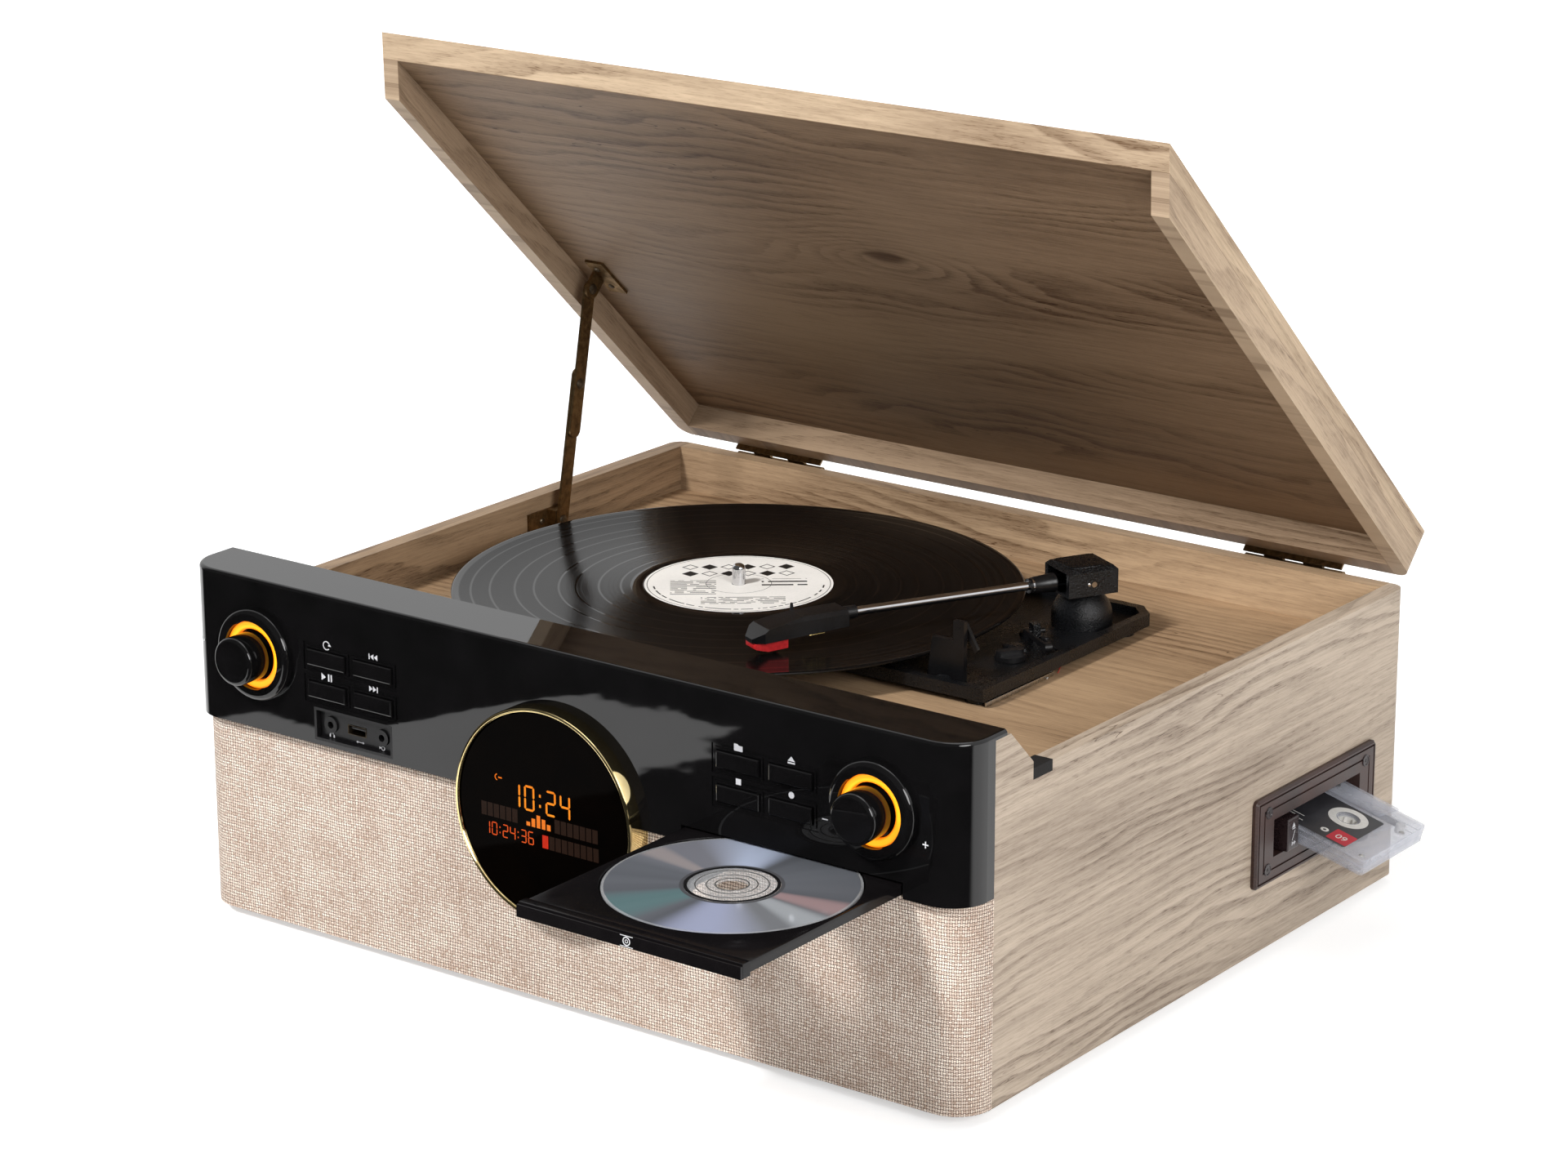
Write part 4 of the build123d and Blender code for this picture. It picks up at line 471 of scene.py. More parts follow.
@dataclass(frozen=True)
class Oak(Finish):
    """Oak foil whose grain runs along one direction."""

    along: Point = (1, 0, 0)
    across: Point = (0, 0, 1)
    light: Colour = tone(203, 184, 161)
    dark: Colour = tone(112, 91, 71)
    pitch: float = 0.0085
    wander: float = 5.5
    contrast: float = 1.0
    knot: Spot = (9.0, 9.0)
    knot_size: float = 0.02
    shift: Spot = (0.0, 0.0)

    def grain(self, to: Paint, along: Point, across: Point) -> Any:
        """The grain on boards that run one way."""
        x, y = (to.plus(to.vector("DOT_PRODUCT", to.place, way), by) for way, by in zip((along, across), self.shift))
        knot = (self.knot[0] + self.shift[0], self.knot[1] + self.shift[1], 0.0)
        return OakGrain.use(
            to, Place=to.join(x, y), Light=self.light, Dark=self.dark, Line_Pitch=self.pitch, Wander=self.wander,
            Contrast=self.contrast, Knot=knot, Knot_Size=self.knot_size,
        )

    def paint(self, to: Paint) -> None:
        """Lays the grain over the whole board."""
        grain = self.grain(to, self.along, self.across)
        to.set(Base_Color=grain["Color"], Roughness=grain["Roughness"], Specular_IOR_Level=0.35)
        to.bump(grain["Height"], 0.0001, 0.5)


@dataclass(frozen=True)
class OakRails(Oak):
    """Oak foil on a frame or lid: its sides' grain runs another way, and its inside gets painted shade."""

    rail_along: Point = (0, 1, 0)
    rail_across: Point = (0, 0, 1)
    rail_from: float = 0.23
    inside_up: Point = (0, 0, 1)
    inside_below: float = -9.0
    inside_half: float = 9.0
    painted_shade_share: float = 0.0

    def paint(self, to: Paint) -> None:
        """Lays one grain on the sides and the other between them, and paints shade on the inside."""
        cross = self.grain(to, self.along, self.across)
        rail = self.grain(to, self.rail_along, self.rail_across)
        side = to.size(to.split(to.place)[0])
        colour = to.mix(to.calc("GREATER_THAN", side, self.rail_from), cross["Color"], rail["Color"])
        # Painted shade: below a level along the inside's up direction and between the sides, the colour is darkened
        # towards a warm brown by a share.
        level = to.vector("DOT_PRODUCT", to.place, self.inside_up)
        inside = to.calc("LESS_THAN", level, self.inside_below)
        inside = to.times(inside, to.calc("LESS_THAN", side, self.inside_half))
        shade = to.mix(1.0, colour, (0.46, 0.40, 0.355), "MULTIPLY")
        colour = to.mix(to.times(inside, self.painted_shade_share), colour, shade)
        to.set(Base_Color=colour, Roughness=rail["Roughness"], Specular_IOR_Level=0.35)
        to.bump(rail["Height"], 0.0001, 0.4)


@dataclass(frozen=True)
class Linen(Finish):
    """Stretched linen over the front, whose weave goes round both corners."""

    pitch: float = 0.0016
    front: float = -0.2003
    thread: Colour = tone(255, 242, 228)
    second_thread: Colour = tone(192, 165, 146)
    gap: Colour = tone(104, 82, 68)

    def paint(self, to: Paint) -> None:
        """Lays the weave along the cloth's path round the corners."""
        x, y, z = to.split(to.place)
        back = to.times(to.calc("SIGN", x), to.minus(y, self.front))
        weave = LinenWeave.use(
            to, Place=to.join(to.plus(x, back), z), Pitch=self.pitch,
            Thread=self.thread, Second_Thread=self.second_thread, Gap=self.gap,
        )
        to.set(
            Base_Color=weave["Color"], Roughness=0.92, Specular_IOR_Level=0.15, Sheen_Weight=0.15, Sheen_Roughness=0.6
        )
        to.bump(weave["Height"], 0.0004, 0.7)


@dataclass(frozen=True)
class Moulding(Finish):
    """Moulded plastic or rubber, from polished to textured, with a share of dust."""

    light: Colour
    dark: Colour
    rough: float
    spread: float
    specular: float
    grain: float
    depth: float
    dust: float = 0.0

    def paint(self, to: Paint) -> None:
        """Mottles the colour and the gloss, and adds a little dust."""
        mottle = to.mottle(self.grain, self.light, self.dark)
        colour = mottle["Color"]
        rough = to.fade(mottle["Share"], 0.0, 1.0, self.rough, self.rough + self.spread)
        if self.dust:
            mask = Specks.use(to, Place=to.place, Share=self.dust)["Mask"]
            colour = to.mix(mask, colour, tone(170, 168, 164))
            rough = to.calc("ADD", rough, mask, clamp=True)
        to.set(Base_Color=colour, Roughness=rough, Specular_IOR_Level=self.specular)
        to.bump(mottle["Height"], self.depth, 0.6)


@dataclass(frozen=True)
class Metal(Finish):
    """Polished, brushed or tarnished metal."""

    light: Colour
    dark: Colour
    rough: float
    spread: float
    grain: float
    stretch: Point = (1, 1, 1)
    depth: float = 0.00002

    def paint(self, to: Paint) -> None:
        """Mottles the metal's colour and polish."""
        brushed = to.vector("MULTIPLY", to.place, self.stretch)
        mottle = to.mottle(self.grain, self.light, self.dark, brushed)
        rough = to.fade(mottle["Share"], 0.0, 1.0, self.rough + self.spread, self.rough)
        to.set(Base_Color=mottle["Color"], Roughness=rough, Metallic=1.0)
        to.bump(mottle["Height"], self.depth, 0.5)


@dataclass(frozen=True)
class Glow(Finish):
    """Lit plastic, brighter in the middle of its band than at its edges."""

    centre: Spot
    core: Colour = tone(255, 172, 34)
    edge: Colour = tone(255, 104, 0)
    inner: float = 0.0136
    outer: float = 0.0175

    def paint(self, to: Paint) -> None:
        """Fades the light's colour towards the band's edges."""
        x, _, z = to.split(to.place)
        side, up = to.minus(to.size(x), self.centre[0]), to.minus(z, self.centre[1])
        radius = to.vector("LENGTH", to.join(side, up))
        off = to.size(to.minus(radius, (self.inner + self.outer) / 2))
        width = self.outer - self.inner
        share = to.fade(off, width * 0.2, width * 0.62)
        share = to.calc("ADD", share, to.swing(to.noise(to.place, 90.0), 0.3), clamp=True)
        colour = to.mix(share, self.core, self.edge)
        to.set(Emission_Color=colour, Base_Color=colour, Emission_Strength=1.0, Roughness=0.4, Specular_IOR_Level=0.2)


@dataclass(frozen=True)
class Lit(Finish):
    """Display marks that shine almost evenly."""

    colour: Colour = tone(255, 150, 30)
    second: Colour = tone(240, 110, 10)
    strength: float = 1.0

    def paint(self, to: Paint) -> None:
        """Varies the light's colour a little over the display."""
        mottle = to.mottle(600.0, self.colour, self.second)
        to.set(Emission_Color=mottle["Color"], Emission_Strength=self.strength, Base_Color=(0.01, 0.006, 0.004))
        to.set(Roughness=0.3, Specular_IOR_Level=0.05)


@dataclass(frozen=True)
class Vinyl(Finish):
    """A record's grooved faces, with smooth gaps between its tracks."""

    centre: Spot = (-0.0561, 0.0171)
    gaps: tuple[float, ...] = (0.062, 0.0735, 0.0855, 0.0945, 0.1075, 0.1175, 0.1305, 0.1405)

    def paint(self, to: Paint) -> None:
        """Adds the groove's fine rings, the bands of loud and quiet music and the glossy gaps."""
        rounds = Rounds.use(to, Place=to.about(self.centre), Pitch=0.0011)
        radius = rounds["Radius"]
        gap: Value = 0.0
        for middle in self.gaps:
            gap = to.most(gap, to.fade(to.size(to.minus(radius, middle)), 0.0008, 0.0003))
        edges = to.most(to.fade(radius, 0.0575, 0.0565), to.fade(radius, 0.1462, 0.1472))
        smooth = to.most(edges, gap)
        band = to.fade(rounds["Band"], 0.3, 0.7)
        colour = to.mix(band, tone(7, 6, 6), tone(16, 15, 15))
        mask = Specks.use(to, Place=to.place, Scale=90.0, Size=0.03, Share=0.03)["Mask"]
        to.set(
            Base_Color=to.mix(mask, colour, tone(120, 118, 116)),
            Roughness=to.minus(to.fade(band, 0.0, 1.0, 0.13, 0.19), to.times(smooth, 0.1)),
            Coat_Weight=to.times(smooth, 0.3), Specular_IOR_Level=0.1, Coat_Roughness=0.04,
        )
        to.bump(to.minus(to.times(rounds["Wave"], 0.2), smooth), 0.00002, 0.4)


@dataclass(frozen=True)
class DiscFace(Finish):
    """A compact disc's silver face, with painted highlights and painted reflections as pale and coloured rays from its
    middle.

    Each ray has its direction and half width in degrees, its strength and its colour.
    """

    centre: Spot = (0.143, -0.2493)
    silver: Colour = (0.19, 0.20, 0.225)
    # The rays are painted highlights; the warm one at 4 degrees is the painted reflection of the lit ring beside the
    # disc.
    rays: tuple[tuple[float, float, float, Colour], ...] = (
        (116.0, 30.0, 1.0, (0.62, 0.70, 0.90)),
        (297.0, 30.0, 1.0, (0.50, 0.54, 0.74)),
        (150.0, 36.0, 0.6, (0.36, 0.36, 0.41)),
        (167.0, 9.0, 0.8, (0.48, 0.42, 0.41)),
        (330.0, 34.0, 0.5, (0.40, 0.41, 0.43)),
        (344.0, 12.0, 0.8, (0.56, 0.59, 0.62)),
        (4.0, 11.0, 0.7, (0.60, 0.40, 0.40)),
        (243.0, 20.0, 0.5, (0.16, 0.36, 0.36)),
    )

    def paint(self, to: Paint) -> None:
        """Adds the painted highlight and reflection rays over the silver, and the mirror band inside them, painted dark
        as a painted reflection.
        """
        here = to.about(self.centre)
        radius = Rounds.use(to, Place=here, Pitch=0.0004)["Radius"]
        x, y, _ = to.split(here)
        out = to.vector("NORMALIZE", to.join(x, y))
        soft = to.noise(out, 1.7)
        colour = to.mix(to.fade(soft, 0.35, 0.65), self.silver, darker(self.silver, 0.72))
        for angle, width, strength, tint in self.rays:
            turn = math.radians(angle)
            facing = to.vector("DOT_PRODUCT", out, (math.cos(turn), math.sin(turn), 0.0))
            colour = to.mix(to.fade(facing, math.cos(math.radians(width)), 1.0, 0.0, strength), colour, tint)
        # Painted reflection: the mirror band inside the rays is painted dark grey.
        colour = to.mix(to.fade(radius, 0.0245, 0.024), colour, (0.12, 0.12, 0.13))
        # The painted rays face the viewer only, so polished surfaces beside the disc show it dark.
        mirrored = to.times(to.add("ShaderNodeLightPath").outputs["Is Glossy Ray"], 0.9)
        to.set(
            Base_Color=to.mix(mirrored, colour, (0.01, 0.01, 0.012)), Roughness=to.fade(soft, 0.3, 0.7, 0.06, 0.1),
            Metallic=0.35, Specular_IOR_Level=0.5,
        )


@dataclass(frozen=True)
class Label(Finish):
    """A record's paper label: rings at its rim, a band of diamonds and blocks of short dashes.

    Each block has its left and right, its bottom and top, the pitch of its rows and dashes and
    the share left bare.
    """

    centre: Spot = (-0.0561, 0.0171)
    turn: float = 0.66
    paper: Colour = tone(252, 248, 242)
    ink: Colour = tone(38, 35, 33)
    blocks: tuple[tuple[float, ...], ...] = (
        (-0.036, -0.012, -0.020, 0.006, 0.0024, 0.0016, 0.42),
        (0.012, 0.036, -0.004, 0.008, 0.0058, 0.0022, 0.4),
        (-0.020, 0.024, -0.036, -0.0235, 0.0021, 0.0012, 0.46),
    )

    def rows(self, to: Paint, across: Socket, up: Socket, pitch: float, step: float, share: float) -> Socket:
        """Rows of short dashes, a pitch apart."""
        line, column = to.calc("DIVIDE", up, pitch), to.calc("DIVIDE", across, step)
        cell = to.join(to.times(to.calc("FLOOR", column), 0.37), to.times(to.calc("FLOOR", line), 3.1))
        kept = to.calc("GREATER_THAN", to.noise(cell, 1.0, 1.0), share)
        return to.times(kept, to.within(to.calc("FRACT", line), 0.3, 0.68))

    def diamonds(self, to: Paint, across: Socket, up: Socket) -> Socket:
        """Diamonds in two staggered rows, outlined and solid in turn."""
        column, line = to.calc("DIVIDE", across, 0.0102), to.calc("DIVIDE", up, 0.0118)
        u, v = (to.size(to.minus(to.calc("FRACT", count), 0.5)) for count in (column, line))
        size = to.plus(u, to.times(v, 1.1))
        odd = to.plus(to.calc("FLOOR", column), to.calc("FLOOR", line))
        odd = to.size(to.calc("PINGPONG", odd, 1.0))
        hollow = to.times(to.calc("LESS_THAN", size, 0.34), to.calc("GREATER_THAN", odd, 0.5))
        band = to.times(to.within(up, 0.0118, 0.0354), to.within(across, -0.0306, 0.0306))
        return to.times(to.minus(to.calc("LESS_THAN", size, 0.44), hollow), band)

    def paint(self, to: Paint) -> None:
        """Prints the rings, diamonds and dashes on the paper."""
        here = to.about(self.centre)
        radius = to.vector("LENGTH", to.vector("MULTIPLY", here, (1.0, 1.0, 0.0)))
        across = to.vector("DOT_PRODUCT", here, (math.cos(self.turn), math.sin(self.turn), 0.0))
        up = to.vector("DOT_PRODUCT", here, (-math.sin(self.turn), math.cos(self.turn), 0.0))
        fibres = to.mottle(900.0, self.paper, darker(self.paper, 0.9))
        ink = self.diamonds(to, across, up)
        for left, right, bottom, top, *spacing in self.blocks:
            area = to.times(to.within(up, bottom, top), to.within(across, left, right))
            ink = to.most(ink, to.times(area, self.rows(to, across, up, *spacing)))
        angle = to.times(to.calc("ARCTAN2", up, across), 0.046)
        rim = to.times(self.rows(to, angle, radius, 0.0023, 0.0013, 0.45), to.within(radius, 0.0437, 0.046))
        ink = to.most(ink, to.times(rim, to.calc("LESS_THAN", up, -0.004)))
        for at, wide in ((0.0482, 0.0002), (0.0172, 0.00015)):
            ink = to.most(ink, to.calc("LESS_THAN", to.size(to.minus(radius, at)), wide))
        to.set(Base_Color=to.mix(ink, fibres["Color"], self.ink), Roughness=0.55, Specular_IOR_Level=0.3)
        to.bump(fibres["Height"], 0.00002, 0.4)


@dataclass(frozen=True)
class Frosted(Finish):
    """Thin clear plastic that is seen straight through, cloudier where it is seen edge on."""

    tint: Colour = (0.66, 0.68, 0.76)
    face: float = 0.2
    edge: float = 0.62
    rough: float = 0.12

    def paint(self, to: Paint) -> None:
        """Thickens the plastic's haze towards its edges and mottles it slightly."""
        mottle = to.mottle(120.0, self.tint, darker(self.tint, 0.85))
        turned = to.add("ShaderNodeLayerWeight", {"Blend": 0.5}).outputs["Facing"]
        haze = to.fade(turned, 0.35, 0.95, self.face, self.edge)
        to.set(
            Base_Color=mottle["Color"], Alpha=to.calc("ADD", haze, to.swing(mottle["Share"], 0.08), clamp=True),
            Roughness=to.fade(mottle["Share"], 0.0, 1.0, self.rough, self.rough + 0.1), Specular_IOR_Level=0.6,
        )
        to.bump(mottle["Height"], 0.000006, 0.5)


@dataclass(frozen=True)
class PaleFloor(Finish):
    """A pale floor, white to the camera; polished surfaces show only its part close to the object."""

    near: Spot = (0.465, 0.60)
    span: Spot = (-0.44, -0.18)

    def paint(self, to: Paint) -> None:
        """Adds white for the camera, and a soft wavy limit to what reflections show."""
        seen, mirrored = to.seen()
        x, y, _ = to.split(to.place)
        wave = to.swing(to.noise(to.place, 16.0, 3.0), 0.09)
        limit = to.plus(to.fade(x, -0.38, -0.29, *self.near), wave)
        front = to.fade(to.plus(y, limit), 0.0, 0.006)
        across, (left, right) = to.plus(x, wave), self.span
        side = to.times(to.fade(across, right, right - 0.008), to.fade(across, left - 0.008, left))
        shown = to.most(to.times(front, side), to.fade(y, -0.25, -0.15))
        mottle = to.mottle(20.0, (0.84, 0.84, 0.84), (0.82, 0.82, 0.82))
        hidden = to.times(mirrored, to.minus(1.0, shown))
        far = to.fade(to.vector("LENGTH", to.place), 0.6, 2.5, 0.55, 0.95)
        to.set(
            Base_Color=to.mix(hidden, mottle["Color"], (0.02, 0.02, 0.02)),
            Emission_Strength=to.plus(to.times(seen, far), to.times(mirrored, shown, 0.55)), Emission_Color=(1, 1, 1),
            Roughness=0.9, Specular_IOR_Level=0.0,
        )


# Each moulding has its light and dark tones, its roughness and that roughness's spread, its
# specular level, its grain's scale and depth in metres, and its share of dust.
BLACK_GLOSS = Moulding(
    "black_gloss_plastic", (0.0045, 0.0042, 0.0045), (0.002, 0.002, 0.002), 0.012, 0.02, 0.5, 45.0, 0.000003, 0.02
)
BLACK_TRAY = Moulding("black_tray_plastic", tone(19, 17, 18), tone(10, 9, 10), 0.12, 0.05, 0.2, 60.0, 0.000002, 0.02)
BLACK_SATIN = Moulding(
    "black_satin_plastic", tone(25, 24, 25), tone(11, 11, 12), 0.28, 0.12, 0.42, 900.0, 0.00006, 0.04
)
BLACK_MATTE = Moulding(
    "black_textured_plastic", tone(38, 35, 33), tone(17, 16, 16), 0.5, 0.15, 0.35, 1400.0, 0.00012, 0.10
)
BLACK_GRAINED = Moulding(
    "black_grained_plastic", tone(21, 22, 24), tone(7, 7, 8), 0.24, 0.12, 0.42, 1000.0, 0.0008, 0.06
)
BROWN = Moulding("brown_plastic", tone(70, 50, 45), tone(44, 30, 27), 0.28, 0.14, 0.35, 1100.0, 0.00005, 0.03)
KEY_BROWN = Moulding("dark_brown_plastic", tone(50, 36, 37), tone(30, 21, 22), 0.26, 0.12, 0.5, 900.0, 0.00004, 0.02)
RUBBER = Moulding("black_rubber", tone(33, 30, 29), tone(15, 14, 14), 0.7, 0.15, 0.3, 1000.0, 0.0001)
RED = Moulding("red_plastic", tone(205, 44, 46), tone(168, 28, 34), 0.3, 0.1, 0.4, 500.0, 0.00003)
WHITE = Moulding("white_plastic", tone(232, 230, 226), tone(212, 210, 205), 0.3, 0.12, 0.4, 500.0, 0.00003)
INK = Moulding("white_print", tone(214, 214, 216), tone(178, 178, 182), 0.5, 0.1, 0.3, 1500.0, 0.00002)
TAPE = Moulding("brown_tape", tone(66, 44, 34), tone(34, 23, 19), 0.25, 0.15, 0.5, 2500.0, 0.00003)
LABEL_DARK = Moulding("dark_label", tone(52, 51, 55), tone(30, 30, 33), 0.35, 0.1, 0.4, 900.0, 0.00002)
LABEL_RED = Moulding("red_label", tone(196, 42, 58), tone(170, 30, 46), 0.4, 0.1, 0.4, 900.0, 0.00002)
BOARD = Moulding("fibreboard", tone(150, 118, 88), tone(108, 82, 60), 0.8, 0.1, 0.2, 700.0, 0.0002)
GREEN = Moulding("green_board", tone(40, 84, 52), tone(22, 58, 34), 0.4, 0.2, 0.4, 900.0, 0.00005)
GLASS_DARK = Moulding(
    "dark_lens", (0.0016, 0.001, 0.0007), (0.0006, 0.0006, 0.0006), 0.02, 0.03, 0.01, 40.0, 0.000002
)

# Each metal has its light and dark tones, its roughness and spread, and its grain's scale, stretch and depth.
BRASS = Metal("antique_brass", tone(150, 122, 84), tone(84, 64, 40), 0.42, 0.2, 260.0, (1, 1, 1), 0.00008)
STEEL_DARK = Metal("tarnished_steel", tone(142, 130, 112), tone(74, 64, 52), 0.3, 0.2, 400.0)
GOLD = Metal("gold_plate", tone(246, 226, 170), tone(232, 206, 142), 0.04, 0.05, 150.0, (1, 1, 1), 0.000004)
CHROME = Metal("chrome_plate", tone(226, 226, 228), tone(205, 205, 208), 0.06, 0.08, 120.0)
STEEL = Metal("bare_steel", tone(196, 194, 190), tone(150, 148, 146), 0.25, 0.2, 700.0, (1, 1, 0.1))
ALUMINIUM = Metal("aluminium", tone(214, 214, 212), tone(178, 178, 176), 0.3, 0.15, 500.0)
COPPER_PIN = Metal("gilt_pin", tone(232, 206, 140), tone(196, 164, 96), 0.2, 0.15, 600.0)


# --------------------------------------------------------------------- shaping


def box_corners(width: float, height: float, centre: Spot = (0.0, 0.0)) -> list[Spot]:
    """A rectangle's corners about a centre, in turn."""
    x, y = width / 2, height / 2
    return [(centre[0] + a, centre[1] + b) for a, b in ((-x, -y), (x, -y), (x, y), (-x, y))]


class Form:
    """A mesh being shaped, in millimetres, mostly about its own origin.

    Its methods add to it and give the form itself, so that they can be chained.
    """

    def __init__(self) -> None:
        """Starts an empty shape."""
        self.mesh = bmesh.new()

    def round_off(self, geom: Iterable[Any], width: float, segments: int, affect: str = "EDGES") -> dict[str, Any]:
        """Bevels edges or corners and gives what the bevel made."""
        return bmesh.ops.bevel(
            self.mesh, geom=list(geom), offset=width, offset_type="OFFSET", segments=segments, profile=0.5,
            affect=affect, clamp_overlap=True, material=-1,
        )

    def bevel(self, edges: Iterable[Edge], width: float, segments: int = 2) -> "Form":
        """Rounds some edges, where a width is asked for."""
        if width > 0:
            self.round_off(edges, width, segments)
        return self

    def block(self, low: Point, high: Point, bevel: float = 0.0) -> "Form":
        """Adds a box between its lowest and highest corners, with its edges rounded."""
        middle = [(a + b) / 2 for a, b in zip(low, high)]
        size = [b - a for a, b in zip(low, high)]
        place = Matrix.Translation(middle) @ Matrix.Diagonal((*size, 1.0))
        made = bmesh.ops.create_cube(self.mesh, size=1.0, matrix=place)
        return self.bevel({edge for vert in made["verts"] for edge in vert.link_edges}, bevel)

    def raised(self, faces: list[bmesh.types.BMFace], rise: float) -> list[Edge]:
        """Thickens flat faces upwards and gives their new upper edges."""
        grown = bmesh.ops.extrude_face_region(self.mesh, geom=faces)["geom"]
        top = [item for item in grown if isinstance(item, bmesh.types.BMVert)]
        bmesh.ops.translate(self.mesh, verts=top, vec=(0, 0, rise))
        return [item for item in grown if isinstance(item, bmesh.types.BMEdge)]

    def plate(
        self, outline: Sequence[Spot], low: float, high: float, corner: float = 0.0, bevel: float = 0.0,
        segments: int = 2,
    ) -> "Form":
        """Adds a flat plate.

        Args:
            outline: its corners in plan.
            low: its lower face's height.
            high: its upper face's height.
            corner: the radius of its corners in plan.
            bevel: how far its upper rim is rounded.
            segments: how finely that rim is rounded.

        Returns:
            The form itself.
        """
        made = bmesh.ops.contextual_create(self.mesh, geom=self.loop(outline, low, corner))["faces"]
        return self.bevel(self.raised(made, high - low), bevel, segments)

    def bar(self, width: float, height: float, low: float, high: float, centre: Spot = (0.0, 0.0)) -> "Form":
        """Adds a plate of a width and height about a centre."""
        return self.plate(box_corners(width, height, centre), low, high)

    def loop(self, outline: Sequence[Spot], height: float, corner: float = 0.0) -> list[Edge]:
        """Draws a closed line of straight runs at a height, its corners rounded if asked."""
        corners = [self.mesh.verts.new((x, y, height)) for x, y in outline]
        face = self.mesh.faces.new(corners)
        if corner > 0:
            made = self.round_off(corners, corner, 6, "VERTICES")
            face = max((f for v in made["verts"] for f in v.link_faces), key=lambda f: f.calc_area())
        edges = list(face.edges)
        bmesh.ops.delete(self.mesh, geom=[face], context="FACES_ONLY")
        return edges

    def ring(self, centre: Spot, radius: float, height: float, steps: int) -> list[Edge]:
        """Draws a circle at a height."""
        made = bmesh.ops.create_circle(
            self.mesh, cap_ends=False, radius=radius, segments=steps, matrix=moved(*centre, height)
        )
        return list({edge for vert in made["verts"] for edge in vert.link_edges})

    def fill(self, edges: list[Edge], rise: float, bevel: float = 0.0) -> "Form":
        """Makes a plate of the space between closed lines, the inner ones being holes.

        Args:
            edges: all the lines' edges, at one height.
            rise: how far the plate rises from them.
            bevel: how far its upper rims are rounded.

        Returns:
            The form itself.
        """
        made = bmesh.ops.triangle_fill(self.mesh, use_beauty=True, use_dissolve=False, edges=edges)["geom"]
        faces = [item for item in made if isinstance(item, bmesh.types.BMFace)]
        return self.bevel([edge for edge in self.raised(faces, rise) if self.is_rim(edge)], bevel)

    @staticmethod
    def is_rim(edge: Edge) -> bool:
        """Whether an edge's two faces meet at a clear angle."""
        return len(edge.link_faces) == 2 and edge.calc_face_angle(0.0) > RIM_ANGLE

    def spin(self, geom: list[Any], sweep: float, steps: int, merge: bool) -> "Form":
        """Turns points and edges, or a face, about the z axis through a sweep in radians."""
        bmesh.ops.spin(
            self.mesh, geom=geom, cent=(0, 0, 0), axis=(0, 0, 1), dvec=(0, 0, 0), angle=sweep, steps=steps,
            use_merge=merge, use_duplicate=False,
        )
        return self

    def turned(self, profile: Sequence[Spot], steps: int = 48, closed: bool = False) -> "Form":
        """Adds a shape turned about the z axis.

        Args:
            profile: its radius and height, point by point.
            steps: how many steps make the full turn.
            closed: whether the profile returns to its start.

        Returns:
            The form itself.
        """
        points = [self.mesh.verts.new((radius, 0, height)) for radius, height in profile]
        ends = zip(points, points[1:] + points[:1]) if closed else zip(points, points[1:])
        edges = [self.mesh.edges.new(pair) for pair in ends]
        return self.spin(points + edges, 2 * math.pi, steps, True)

    def washer(self, inner: float, outer: float, low: float, high: float, steps: int) -> "Form":
        """Adds a flat ring between two radii and two heights."""
        return self.turned([(inner, low), (inner, high), (outer, high), (outer, low)], steps, closed=True)

    def arc(self, radius: float, width: float, start: float, sweep: float, high: float) -> "Form":
        """Adds part of a flat ring, from a start angle and through a sweep, both in degrees."""
        turn = Matrix.Rotation(math.radians(start), 3, "Z")
        box = ((-1, 0), (1, 0), (1, high), (-1, high))
        points = [self.mesh.verts.new(turn @ Vector((radius + side * width / 2, 0, z))) for side, z in box]
        face = self.mesh.faces.new(points)
        return self.spin([face], math.radians(sweep), max(4, int(sweep / 12)), False)

    def rod(self, radius: float, low: float, high: float, sides: int, bevel: float = 0.0) -> "Form":
        """Adds a round bar along the z axis."""
        made = bmesh.ops.create_cone(
            self.mesh, cap_ends=True, cap_tris=False, segments=sides, radius1=radius, radius2=radius,
            depth=high - low, matrix=moved(0, 0, (low + high) / 2),
        )
        edges = {edge for vert in made["verts"] for edge in vert.link_edges if self.is_rim(edge)}
        return self.bevel([e for e in edges if abs(e.verts[0].co.z - e.verts[1].co.z) < 1e-6], bevel)

    def figures(self, words: str, height: float, thickness: float) -> "Form":
        """Adds upright figures about the origin, of a height, in the plain built-in face."""
        curve = bpy.data.curves.new("figures", "FONT")
        curve.body = words
        curve.align_x = "CENTER"
        curve.align_y = "CENTER"
        curve.size = height / FIGURE_SHARE
        curve.extrude = thickness / 2
        holder = bpy.data.objects.new("figures", curve)
        flat = bpy.data.meshes.new_from_object(holder)
        self.mesh.from_mesh(flat)
        bpy.data.objects.remove(holder)
        bpy.data.curves.remove(curve)
        bpy.data.meshes.remove(flat)
        return self

    def join(self, other: "Form", place: Matrix | None = None) -> "Form":
        """Adds another form, set at a place, and uses it up."""
        if place is not None:
            other.mesh.transform(place)
        spare = bpy.data.meshes.new("spare")
        other.mesh.to_mesh(spare)
        self.mesh.from_mesh(spare)
        bpy.data.meshes.remove(spare)
        other.mesh.free()
        return self

    def each(self, places: Iterable[Matrix], make: Callable[[], "Form"]) -> "Form":
        """Adds a form at each place, made afresh each time."""
        for place in places:
            self.join(make(), place)
        return self

    def at(self, place: Matrix) -> "Form":
        """Moves the whole form to a place."""
        self.mesh.transform(place)
        return self

